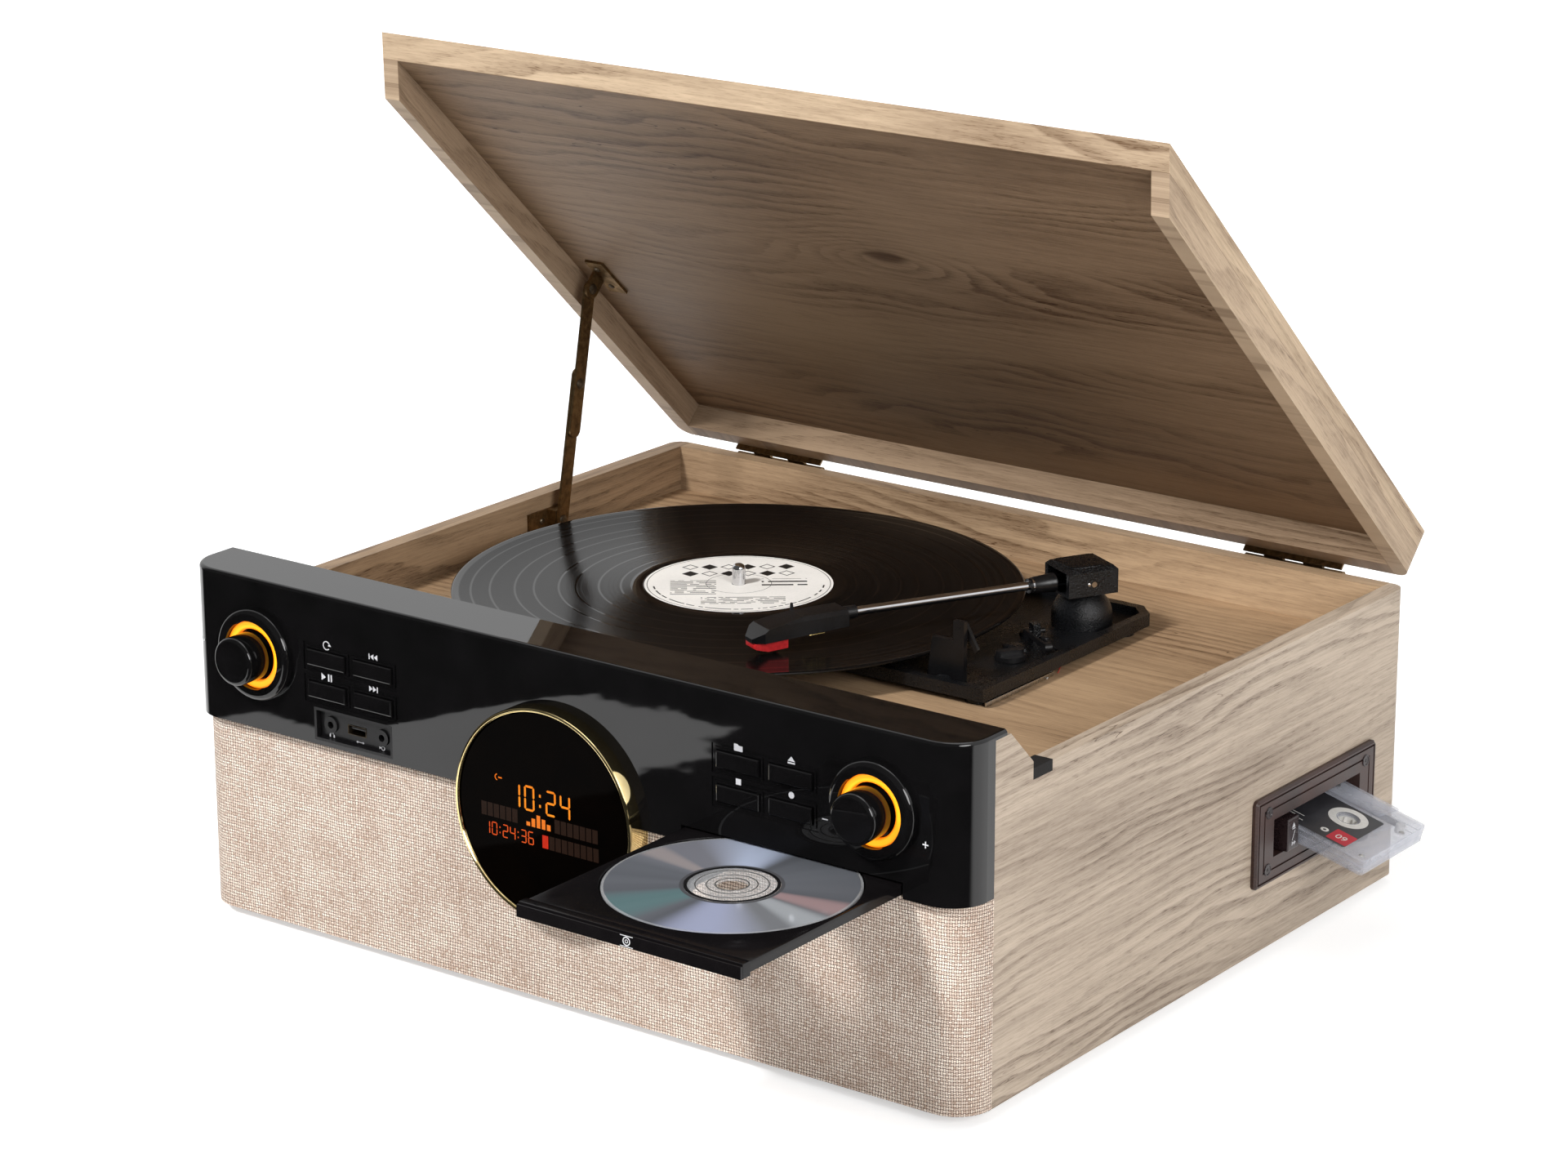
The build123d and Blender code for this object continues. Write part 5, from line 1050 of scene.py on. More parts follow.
    def piece(
        self, name: str, finish: Finish, body: str, slot: str | None = None, at: Matrix | None = None,
        replaces: str | None = None, settle: bool = True,
    ) -> bpy.types.Object:
        """Makes the form a piece of the scene.

        Args:
            name: the piece's name.
            finish: its finish.
            body: the moving or fixed body that it rides on.
            slot: not used.
            at: where it is set first.
            replaces: the solid that it stands for.
            settle: whether its faces are turned outwards afresh.

        Returns:
            The new object.
        """
        mesh = self.mesh
        if at is not None:
            mesh.transform(at)
        bmesh.ops.remove_doubles(mesh, verts=mesh.verts[:], dist=WELD)
        if settle:
            bmesh.ops.recalc_face_normals(mesh, faces=mesh.faces[:])
        for face in mesh.faces:
            face.smooth = True
        for edge in mesh.edges:
            if len(edge.link_faces) != 2 or edge.calc_face_angle(0.0) > SHARP_ANGLE:
                edge.smooth = False
        mesh.transform(Matrix.Diagonal((MM, MM, MM, 1.0)))
        made = show(mesh, name, finish)
        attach(made, body)
        if replaces:
            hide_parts(replaces)
        LOG.info("%s rides on %s", name, body)
        return made


def placed(name: str, data: Any) -> bpy.types.Object:
    """Puts a new object in the scene, with a mesh, a light or a camera."""
    made = bpy.data.objects.new(name, data)
    bpy.context.scene.collection.objects.link(made)
    return made


def show(mesh: bmesh.types.BMesh, name: str, finish: Finish) -> bpy.types.Object:
    """Makes an object of a finished mesh, in its finish, and frees the mesh."""
    data = bpy.data.meshes.new(name)
    mesh.to_mesh(data)
    mesh.free()
    data.materials.append(finish.material())
    return placed(name, data)


def dress(finish: Finish, *nodes: str) -> None:
    """Gives carried-over solids a finish, by name."""
    for name in nodes:
        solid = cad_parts[name]
        material = finish.material()
        if not solid.material_slots:
            solid.data.materials.append(material)
        for slot in solid.material_slots:
            slot.material = material
        LOG.info("%s is dressed in %s", name, finish.name)


def screw_head(radius: float, rise: float) -> Form:
    """A domed screw head about the origin."""
    dome = [(0, rise), (radius * 0.45, rise * 0.94), (radius * 0.8, rise * 0.68), (radius, rise * 0.2), (radius, 0)]
    return Form().turned([*dome, (0, 0)], 28)


def cross_recess(radius: float, height: float) -> Form:
    """The dark cross of a screw's drive."""
    wide, slim = radius * 1.15, radius * 0.26
    arm = Form().bar(wide, slim, height - 0.1, height)
    return arm.join(Form().bar(slim, wide, height - 0.1, height + 0.005))


# -------------------------------------------------------------- sub-assemblies


@dataclass
class Cabinet:
    """The wooden case, its cloth front and its feet."""

    half_width: float = 240.5
    cloth_front: float = -200.3
    panel_front: float = -180.3
    corner: float = 19.0
    low: float = 5.0
    high: float = 109.7
    cloth: float = 0.9
    display: Point = (0.0, -200.3, 106.0)
    display_hole: float = 53.4
    tray: Spot = (78.9, 207.1)
    tray_notch: float = 108.8

    def build(self) -> None:
        """Dresses the boards and stretches the cloth."""
        self.dress_boards()
        self.stretch_cloth()

    def dress_boards(self) -> None:
        """Runs the grain along each board."""
        across, deep = (1, 0, 1), (0, 1, 1)
        side = Oak("oak_side", (0, 1, 0), across, tone(196, 179, 160), tone(106, 88, 72), 0.0068, 5.0, 1.35,
                   shift=(0.31, 0.12))
        # Painted shade: the left panel is a darker, warmer copy of the right panel's oak, for the inner face of the
        # left wall that stands in shade.
        left = Oak("oak_side_left_painted_shade", (0, 1, 0), across, tone(168, 141, 111), tone(82, 60, 42), contrast=1.2,
                   shift=(1.7, 0.44))
        deck = Oak("oak_deck", (1, 0, 0), deep, tone(184, 154, 121), tone(100, 74, 51), 0.007, 5.0, 1.3)
        back = Oak("oak_back", (1, 0, 0), deep, tone(190, 162, 130), tone(98, 73, 51), contrast=1.3,
                   shift=(0.2, 0.31))
        dress(side, "side_panel_right")
        dress(left, "side_panel_left")
        dress(deck, "deck_board")
        dress(back, "rear_board")
        dress(BOARD, "base_board", "front_baffle")
        dress(RUBBER, "feet", "lid_bumpers")
        dress(BLACK_SATIN, "screws")

    def path(self, distance: float) -> Spot:
        """The plan place at a distance along the cloth, from its left end."""
        straight = self.panel_front - self.cloth_front - self.corner
        quarter = self.corner * math.pi / 2
        centre = self.half_width - self.corner
        half = straight + quarter + centre
        side = -1.0 if distance < half else 1.0
        left = half - abs(distance - half)
        if left < straight:
            return side * self.half_width, self.panel_front - left
        if left < straight + quarter:
            turn = (left - straight) / self.corner
            back = self.cloth_front + self.corner
            return side * (centre + self.corner * math.cos(turn)), back - self.corner * math.sin(turn)
        return side * (half - left), self.cloth_front

    def stretch_cloth(self) -> None:
        """Wraps one flat cut of linen round the front, with a hole behind the display."""
        straight = self.panel_front - self.cloth_front - self.corner
        length = 2 * (straight + self.corner * math.pi / 2 + self.half_width - self.corner)
        height = self.high - self.low
        form = Form()
        mesh = form.mesh
        bmesh.ops.create_grid(mesh, x_segments=240, y_segments=50, size=0.5)
        for vert in mesh.verts:
            x, y = self.path((vert.co.x + 0.5) * length)
            z = self.low + (vert.co.y + 0.5) * height
            if self.tray[0] < x < self.tray[1]:
                z = min(z, self.tray_notch)
            vert.co = (x, y, z)
        middle = Vector(self.display)
        hidden = [face for face in mesh.faces if (face.calc_center_median() - middle).length < self.display_hole]
        cut = sum(face.calc_area() for face in mesh.faces) - sum(face.calc_area() for face in hidden)
        bmesh.ops.delete(mesh, geom=hidden, context="FACES")
        for face in mesh.faces:
            if face.normal.dot(Vector((face.calc_center_median().x * 0.02, -1.0, 0.0))) < 0:
                face.normal_flip()
        bmesh.ops.solidify(mesh, geom=mesh.faces[:], thickness=self.cloth)
        cloth = form.piece("grille_linen", Linen("linen"), "cabinet", "cloth", replaces="grille_cloth")


@dataclass
class Lid:
    """The lid, its hinges and the folding stay."""

    angle: float = 43.5
    hinge: Spot = (205.8, 159.7)
    wall: float = 230.5
    stay_foot: Spot = (72.3, 148.55)
    stay_head: Spot = (97.1, 276.198)
    elbow: float = 77.0
    lower_face: float = -222.675
    upper_face: float = -220.825
    ear_face: float = -217.475
    stay_thick: float = 1.5
    lid_inside: float = 19.3
    lid_screws: Spot = (-213.8, -159.04)

    def axes(self) -> tuple[Point, Point]:
        """Directions to the rear along the lid and up from its inside."""
        turn = math.radians(self.angle)
        return (0, math.cos(turn), -math.sin(turn)), (0, math.sin(turn), math.cos(turn))

    def build(self) -> None:
        """Dresses the lid's boards and its metalwork, and adds the rivets and screws."""
        rear, up = self.axes()
        rear_at, up_at = (Vector(way).dot(Vector((0, *self.hinge))) * MM for way in (rear, up))
        # Painted shade: the board's underside is darkened fully and the rails' inner faces by a little over half.
        board = OakRails(
            "oak_lid", (1, 0, 0), rear, tone(202, 178, 149), tone(108, 82, 58), pitch=0.0095,
            knot=(0.015, rear_at - 0.235), knot_size=0.014, contrast=1.25, rail_along=rear, rail_across=up,
            rail_from=0.2402, inside_up=up, inside_below=up_at + (self.lid_inside + 0.2) * MM, painted_shade_share=1.0,
        )
        rails = OakRails(
            "oak_lid_rails", (1, 0, 0), up, tone(192, 168, 141), tone(98, 75, 54), contrast=1.35, shift=(0.4, 0.05),
            rail_along=rear, rail_across=up, inside_up=up, inside_below=9.0, inside_half=0.2308, painted_shade_share=0.55,
        )
        dress(board, "lid_top")
        dress(rails, "lid_frame")
        dress(BRASS, "hinge_leaves_cabinet", "hinge_leaves_lid")
        dress(BRASS, "stay_wall_bracket", "stay_lid_bracket", "stay_upper_arm", "stay_lower_arm")
        self.rivet_stay()
        self.screw_brackets()

    def rivet_stay(self) -> None:
        """Adds a domed rivet at the stay's foot, elbow and head."""
        foot, head = Vector(self.stay_foot), Vector(self.stay_head)
        along = (head - foot).normalized()
        dome = [(0, 1.1), (1.6, 1.0), (2.8, 0.5), (3.1, 0), (0, 0)]
        for name, spot, face, body in (
            ("foot", foot, self.lower_face + self.stay_thick + 0.13, "cabinet"),
            ("elbow", foot + along * self.elbow, self.upper_face + self.stay_thick, "stay_upper"),
            ("head", head, self.ear_face, "lid"),
        ):
            rivet = Form().turned(dome, 32)
            rivet.piece(f"stay_rivet_{name}", STEEL_DARK, body, "antique_brass", set_at((face, *spot), *RIGHT))

    def screw_brackets(self) -> None:
        """Adds the screws of the stay's two brackets."""
        y, z = self.stay_foot
        face = -self.wall + self.stay_thick
        places = [set_at((face, y - 1.8 + side * 7.0, z), *RIGHT) for side in (-1, 1)]
        heads = Form().each(places, lambda: screw_head(1.9, 0.8))
        heads.piece("stay_bracket_screws", STEEL_DARK, "cabinet", "antique_brass")
        rear, up = (Vector(direction) for direction in self.axes())
        x, back = self.lid_screws
        middle = Vector((x, *self.hinge)) + up * (self.lid_inside - self.stay_thick)
        places = [set_at(middle + rear * (back + side * 8.5), (1, 0, 0), -up) for side in (-1, 1)]
        tops = Form().each(places, lambda: screw_head(1.9, 0.8))
        tops.piece("stay_lid_screws", STEEL_DARK, "lid", "antique_brass")


class Sign(Enum):
    """The signs printed beside the controls: each is a row of strokes, with their kinds and sizes."""

    PLAY = (("arrow", -3.2, 1), ("box", 0.7, 3.0, 0.6), ("box", 0.7, 3.0, 2.0))
    BACK = (("arrow", 2.4, -1, 1.2), ("arrow", 0.4, -1, 1.2), ("box", 0.5, 2.4, -1.9))
    FORWARD = (("arrow", -2.4, 1, 1.2), ("arrow", -0.4, 1, 1.2), ("box", 0.5, 2.4, 1.9))
    REPEAT = (("arc", 1.7, 0.45, 25, 290), ("shape", ((0.7, -0.1), (2.5, -0.1), (1.6, 1.1))))
    FOLDER = (("shape", ((-2, -1.4), (2, -1.4), (2, 0.8), (0.2, 0.8), (-0.4, 1.4), (-2, 1.4)), 0.2),)
    OPEN = (("shape", ((-1.7, -0.2), (1.7, -0.2), (0, 1.7))), ("box", 3.4, 0.6, 0, -0.9))
    STOP = (("box", 2.4, 2.4),)
    RECORD = (("disc", 1.3, 32),)
    PLUS = (("box", 2.6, 0.5), ("box", 0.5, 2.6, 0, 0, 1.01))
    MINUS = (("box", 2.6, 0.5),)
    POWER = (("arc", 1.15, 0.22, 200, 140), ("box", 0.2, 3.4, 0, 0.5))
    PHONES = (("arc", 1.2, 0.35, 0, 180), ("box", 0.75, 1.4, -1.3, -0.4), ("box", 0.75, 1.4, 1.3, -0.4))
    LINE_IN = (("arc", 1.0, 0.3, 0, 360), ("arrow", -2.4, 1, 0.7))
    PORT = (("disc", 0.55, 20), ("box", 4.2, 0.3, 1.9), ("arrow", 3.6, 1, 0.6))

    def form(self) -> Form:
        """The sign about the origin, facing up."""
        mark = Mark()
        for kind, *sizes in self.value:
            getattr(mark, kind)(*sizes)
        return mark


class Mark(Form):
    """A thin printed mark, made of strokes."""

    HIGH: ClassVar[float] = 0.08

    def arrow(self, x: float, way: float, size: float = 1.5) -> Form:
        """A solid arrow head whose base is at x."""
        return self.shape([(x, -size), (x + way * size * 1.5, 0), (x, size)])

    def box(self, width: float, height: float, x: float = 0.0, y: float = 0.0, rise: float = 1.0) -> Form:
        """A bar about a place."""
        return self.bar(width, height, 0, self.HIGH * rise, (x, y))

    def arc(self, radius: float, width: float, start: float, sweep: float, high: float = HIGH) -> Form:
        """Part of a ring."""
        return super().arc(radius, width, start, sweep, high)

    def disc(self, radius: float, sides: int) -> Form:
        """A dot."""
        return self.rod(radius, 0, self.HIGH, sides)

    def shape(self, outline: Sequence[Spot], corner: float = 0.0) -> Form:
        """A stroke of any outline."""
        return self.plate(outline, 0, self.HIGH, corner)


@dataclass
class Controls:
    """The glossy front panel with its knobs, buttons, sockets and white marks."""

    face: float = -205.3
    knob_x: float = 191.4
    knob_z: float = 150.0
    knob_signs: Spot = (28.2, -11.2)
    columns: Spot = (113.3, 144.0)
    rows: Spot = (155.5, 138.7)
    sign_rise: float = 7.7
    sign_scale: Spot = (1.25, 2.2)
    power: Point = (-231.2, -202.58, 151.0)
    power_turn: float = 30.7
    socket_face: float = -202.3
    socket_z: float = 120.7
    jacks: Spot = (-145.0, -111.0)
    port: float = -128.0
    buttons: tuple[str, ...] = ("back", "repeat", "forward", "play", "folder", "open", "stop", "record")

    def build(self) -> None:
        """Dresses the panel, fits its sockets and prints its marks."""
        dress(BLACK_GLOSS, "fascia", "source_knob", "volume_knob", *(f"button_{name}" for name in self.buttons))
        dress(BLACK_SATIN, "jack_panel")
        dress(Glow("amber_ring", (self.knob_x * MM, self.knob_z * MM)), "light_rings")
        dress(GREEN, "circuit_boards")
        self.fit_sockets()
        self.print_signs()

    def socket(self, x: float, down: float = 0.0, ahead: float = 0.0) -> Matrix:
        """The place at a socket, or below and ahead of it."""
        return set_at((x, self.socket_face + ahead, self.socket_z - down), *FRONT)

    def fit_sockets(self) -> None:
        """Adds the sockets' metal: sleeves in the jacks, and a shell with its tongue in the port."""
        rim = [(1.95, -4.0), (1.95, 0.35), (2.2, 0.5), (3.1, 0.45), (3.3, 0.1), (3.3, -0.2), (2.1, -0.2), (2.1, -4)]
        sleeves = Form().each(map(self.socket, self.jacks), lambda: Form().turned(rim, 40, closed=True))
        sleeves.piece("jack_sleeves", BLACK_GLOSS, "cabinet", "black_gloss")
        port = self.socket(self.port)
        shell = Form()
        edges = shell.loop(box_corners(12.3, 5.0), -8.0) + shell.loop(box_corners(11.5, 4.2), -8.0)
        shell.fill(edges, 8.25, 0.08).piece("port_shell", STEEL_DARK, "cabinet", "steel", port)
        tongue = Form().block((-5.2, 0.3, -8.5), (5.2, 1.6, -0.8), 0.15)
        tongue.piece("port_tongue", BLACK_SATIN, "cabinet", at=port)
        pins = Form()
        for step in (-3.3, -1.1, 1.1, 3.3):
            pins.block((step - 0.5, 0.12, -7.5), (step + 0.5, 0.32, -1.4))
        pins.piece("port_contacts", COPPER_PIN, "cabinet", "gold", port)

    def print_signs(self) -> None:
        """Prints a sign over each button and beside the knobs and jacks."""
        inner, outer = self.columns
        upper, lower = (row + self.sign_rise for row in self.rows)
        aside, low = self.knob_signs
        scale, large = self.sign_scale
        marks = Form()
        for sign, x, z in (
            (Sign.REPEAT, -outer, upper),
            (Sign.BACK, -inner, upper),
            (Sign.PLAY, -outer, lower),
            (Sign.FORWARD, -inner, lower),
            (Sign.FOLDER, inner, upper),
            (Sign.OPEN, outer, upper),
            (Sign.STOP, inner, lower),
            (Sign.RECORD, outer, lower),
            (Sign.PLUS, self.knob_x + aside, self.knob_z + low),
            (Sign.MINUS, self.knob_x - aside, self.knob_z + low),
        ):
            marks.join(sign.form(), set_at((x, self.face + 0.02, z), *FRONT) @ Matrix.Diagonal((scale, scale, 1, 1)))
        # The panel's end is round here, so this sign stands turned with it.
        turn = math.radians(self.power_turn)
        along, out = (math.cos(turn), -math.sin(turn), 0), (-math.sin(turn), -math.cos(turn), 0)
        corner = set_at(self.power, along, out)
        marks.join(Sign.POWER.form(), corner @ Matrix.Diagonal((large, large, 2, 1)))
        marks.piece("panel_marks", INK, "cabinet")
        near = Form()
        for sign, x in ((Sign.PHONES, self.jacks[0]), (Sign.LINE_IN, self.jacks[1]), (Sign.PORT, self.port)):
            near.join(sign.form(), self.socket(x, 5.6, 0.02))
        near.piece("socket_marks", INK, "cabinet")


@dataclass
class Display:
    """The round display in its gilt rim."""

    STROKES: ClassVar[dict[str, str]] = {
        "0": "abcdef", "1": "bc", "2": "abged", "3": "abgcd", "4": "fgbc", "6": "afgedc",
    }

    middle: float = 106.0
    rim_face: float = -213.3
    window_drop: float = 1.4
    outer: float = 55.0
    inner: float = 52.45
    depth: float = 13.0
    thick: float = 0.06

    def build(self) -> None:
        """Dresses the window, turns the rim and lights the figures."""
        dress(GLASS_DARK, "display_window")
        self.turn_rim()
        self.light_figures()

    def place(self, x: float, z: float) -> Matrix:
        """A place on the window, from its middle."""
        return set_at((x, self.rim_face + self.window_drop, self.middle + z), *FRONT)

    def turn_rim(self) -> None:
        """Turns the gilt rim, whose polished side runs back to the cloth."""
        r, i, d = self.outer, self.inner, self.depth
        gilt = [(r, -d), (r, -1.1), (r - 0.35, -0.3), (r - 0.9, 0), (r - 1.6, -0.05), (r - 1.9, -0.5)]
        gilt += [(r - 2.2, -0.55), (i, -1.3), (i, -d)]
        place = set_at((0, self.rim_face, self.middle), *FRONT)
        Form().turned(gilt, 160, closed=True).piece("display_rim", GOLD, "cabinet", "gold", place, "display_ring")

    def figure(self, name: str, width: float, height: float, stroke: float) -> Form:
        """One figure of seven strokes about its own middle.

        Args:
            name: the figure, or a colon.
            width: its width.
            height: its height.
            stroke: the width of a stroke.

        Returns:
            The figure's form.
        """
        form = Form()
        if name == ":":
            for z in (-height * 0.2, height * 0.2):
                form.bar(stroke, stroke * 1.3, 0, self.thick, (0, z))
            return form
        x, y, t = width / 2, height / 2, stroke / 2
        gap = stroke * 0.12

        def lie(at: float) -> list[Spot]:
            """The outline of a lying stroke."""
            end = x - t - gap
            return [(-end, at), (-end + t, at - t), (end - t, at - t), (end, at), (end - t, at + t), (-end + t, at + t)]

        def stand(side: float, low: float, high: float) -> list[Spot]:
            """The outline of a standing stroke."""
            low, high = low + gap, high - gap
            left, right = side - t, side + t
            return [(side, low), (right, low + t), (right, high - t), (side, high), (left, high - t), (left, low + t)]

        shapes = {
            "a": lie(y - t), "g": lie(0), "d": lie(-y + t),
            "b": stand(x - t, 0, y - t), "c": stand(x - t, -y + t, 0),
            "f": stand(-x + t, 0, y - t), "e": stand(-x + t, -y + t, 0),
        }
        for letter in self.STROKES[name]:
            form.plate(shapes[letter], 0, self.thick)
        return form

    def line(self, words: str, start: Spot, pitch: float, size: Spot, stroke: float) -> Form:
        """A line of figures from a start, a pitch apart; a colon takes half a pitch."""
        form = Form()
        x, z = start
        for name in words:
            step = pitch * (0.5 if name == ":" else 1.0)
            form.join(self.figure(name, *size, stroke), self.place(x + step / 2, z))
            x += step
        return form

    def light_figures(self) -> None:
        """Lights the clock, the counter under it and the dim cells about them."""
        bars = Form()
        for number, height in enumerate((2.0, 4.2, 6.4, 5.0, 3.0)):
            bars.join(Form().bar(2.2, height, 0, self.thick), self.place(-9.6 + number * 3.2, -6.4 + height / 2))
        cells = Form()
        for row, start, count in ((-3.2, -37.5, 6), (-3.2, 8.5, 7), (-12.6, 5.0, 8)):
            places = [self.place(start + 3.9 * number, row) for number in range(count)]
            cells.each(places, lambda: Form().bar(3.3, 7.0, 0, 0.02))
        sign = Form().arc(1.5, 0.5, 100, 160, self.thick).bar(2.2, 0.7, 0, self.thick, (1.6, 0))
        for name, form, finish in (
            ("clock", self.line("10:24", (-22.0, 7.7), 8.9, (6.4, 13.0), 1.1),
             Lit("amber_clock", tone(255, 160, 36), tone(250, 128, 18))),
            ("counter", self.line("10:24:36", (-38.0, -12.6), 4.6, (3.5, 6.8), 0.55),
             Lit("amber_counter", tone(236, 92, 30), tone(214, 70, 20))),
            ("levels", bars, Lit("amber_levels", tone(250, 136, 40), tone(232, 106, 26))),
            ("cursor", Form().bar(3.6, 6.6, 0, 0.05).at(self.place(0.9, -12.6)),
             Lit("red_cursor", tone(206, 42, 18), tone(180, 30, 12))),
            ("sign", sign.at(self.place(-28.5, 14.5)), Lit("amber_sign")),
            ("cells", cells, Lit("dim_cells", tone(38, 16, 7), tone(27, 11, 5), 0.5)),
        ):
            form.piece(f"display_{name}", finish, "cabinet")


@dataclass
class DiscPlayer:
    """The disc tray and the disc on it."""

    x: float = 143.0
    y: float = -249.3
    width: float = 127.0
    front: float = -326.3
    back: float = -176.3
    low: float = 110.0
    high: float = 117.0
    lip: float = 7.0
    plate_low: float = 111.2
    plate_high: float = 116.3
    pocket_floor: float = 114.4
    pocket_radius: float = 61.0
    slot_half: float = 20.0
    disc_low: float = 114.7
    disc_radius: float = 60.0

    def build(self) -> None:
        """Dresses the chassis, and builds the tray and the disc."""
        dress(BLACK_MATTE, "cd_mechanism")
        self.build_tray()
        self.build_disc()

    def build_tray(self) -> None:
        """Builds the tray: a front strip, and behind it a lower plate with the disc's pocket."""
        half = self.width / 2
        left, right, start = self.x - half, self.x + half, self.front + self.lip
        side, slant = self.slot_half, self.slot_half * 0.7
        front = [(left + 0.6, start), (right - 0.6, start)]
        rear_left, rear_right = (left + 0.6, self.back), (right - 0.6, self.back)
        slot = [
            (self.x + side, self.back), (self.x + side, self.y), (self.x + slant, self.y - slant),
            (self.x, self.y - side), (self.x - slant, self.y - slant), (self.x - side, self.y),
            (self.x - side, self.back),
        ]
        tray = Form().plate([*front, rear_right, *slot, rear_left], self.plate_low, self.pocket_floor)
        rim = tray.loop([*front, rear_right, rear_left], self.pocket_floor)
        rim += tray.ring((self.x, self.y), self.pocket_radius, self.pocket_floor, 128)
        tray.fill(rim, self.plate_high - self.pocket_floor, bevel=0.25)
        step = self.front + 1.6
        strip = [(left, step), (right, step), (right, start), (left, start)]
        tray.plate(strip, self.low, self.high, bevel=0.35, segments=3)
        face = [(left, self.front), (right, self.front), (right, step + 0.2), (left, step + 0.2)]
        tray.plate(face, self.low, self.high - 0.9, bevel=0.3, segments=3)
        tray.piece("disc_tray", BLACK_TRAY, "tray", "black_gloss", replaces="cd_tray")
        sign = Mark().arc(1.9, 0.5, 0, 360).join(Mark().arc(0.75, 0.3, 0, 360))
        sign.box(7.2, 0.35, 0, -2.55).join(Mark().box(7.2, 0.35, 0, 2.55))
        middle = (self.x, self.front + 0.02, (self.low + self.high) / 2 - 0.4)
        sign.piece("tray_sign", INK, "tray", at=set_at(middle, *FRONT))
        dimple = Form().arc(1.5, 0.35, 0, 360, 0.12)
        corner = moved(left + 9.6, self.front + 4.0, self.high - 0.02)
        dimple.piece("tray_ring_mark", BLACK_GLOSS, "tray", "black_gloss", corner)

    def build_disc(self) -> None:
        """Turns the silver disc, and its clear hub with the moulded rings."""
        low, high, r = self.disc_low, self.disc_low + 1.2, self.disc_radius
        middle = moved(self.x, self.y)
        silver = Form().washer(22.5, 58.6, low, high, 160)
        silver.piece("disc_silver_band", DiscFace("disc_silver_face"), "disc", "disc_silver", middle, "compact_disc")
        clear = [
            (7.5, low), (7.5, high), (10.2, high), (10.5, high + 0.15), (11.2, high + 0.15), (11.5, high), (16.2, high),
            (16.6, high + 0.18), (17.6, high + 0.18), (18.0, high), (20.6, high),
            (20.9, high - 0.25), (21.6, high - 0.25), (21.9, high), (22.4, high), (22.4, low),
        ]
        edge = [(58.7, low), (58.7, high), (r - 0.2, high), (r, high - 0.2), (r, low + 0.2), (r - 0.2, low)]
        hub = Form().turned(clear, 128, closed=True).join(Form().turned(edge, 160, closed=True))
        clear_plastic = Frosted("clear_disc_plastic", (0.8, 0.81, 0.83), 0.12, 0.35, 0.05)
        hub.piece("disc_clear_hub", clear_plastic, "disc", at=middle)
        for name, finish, rings in (
            ("disc_hub_rings", ALUMINIUM, ((7.5, 8.1), (11.6, 12.1), (16.7, 17.3))),
            ("disc_hub_edge", BLACK_SATIN, ((20.7, 22.3),)),
        ):
            form = Form()
            for inner, outer in rings:
                form.washer(inner, outer, high, high + 0.2, 96)
            form.piece(name, finish, "disc", at=middle)


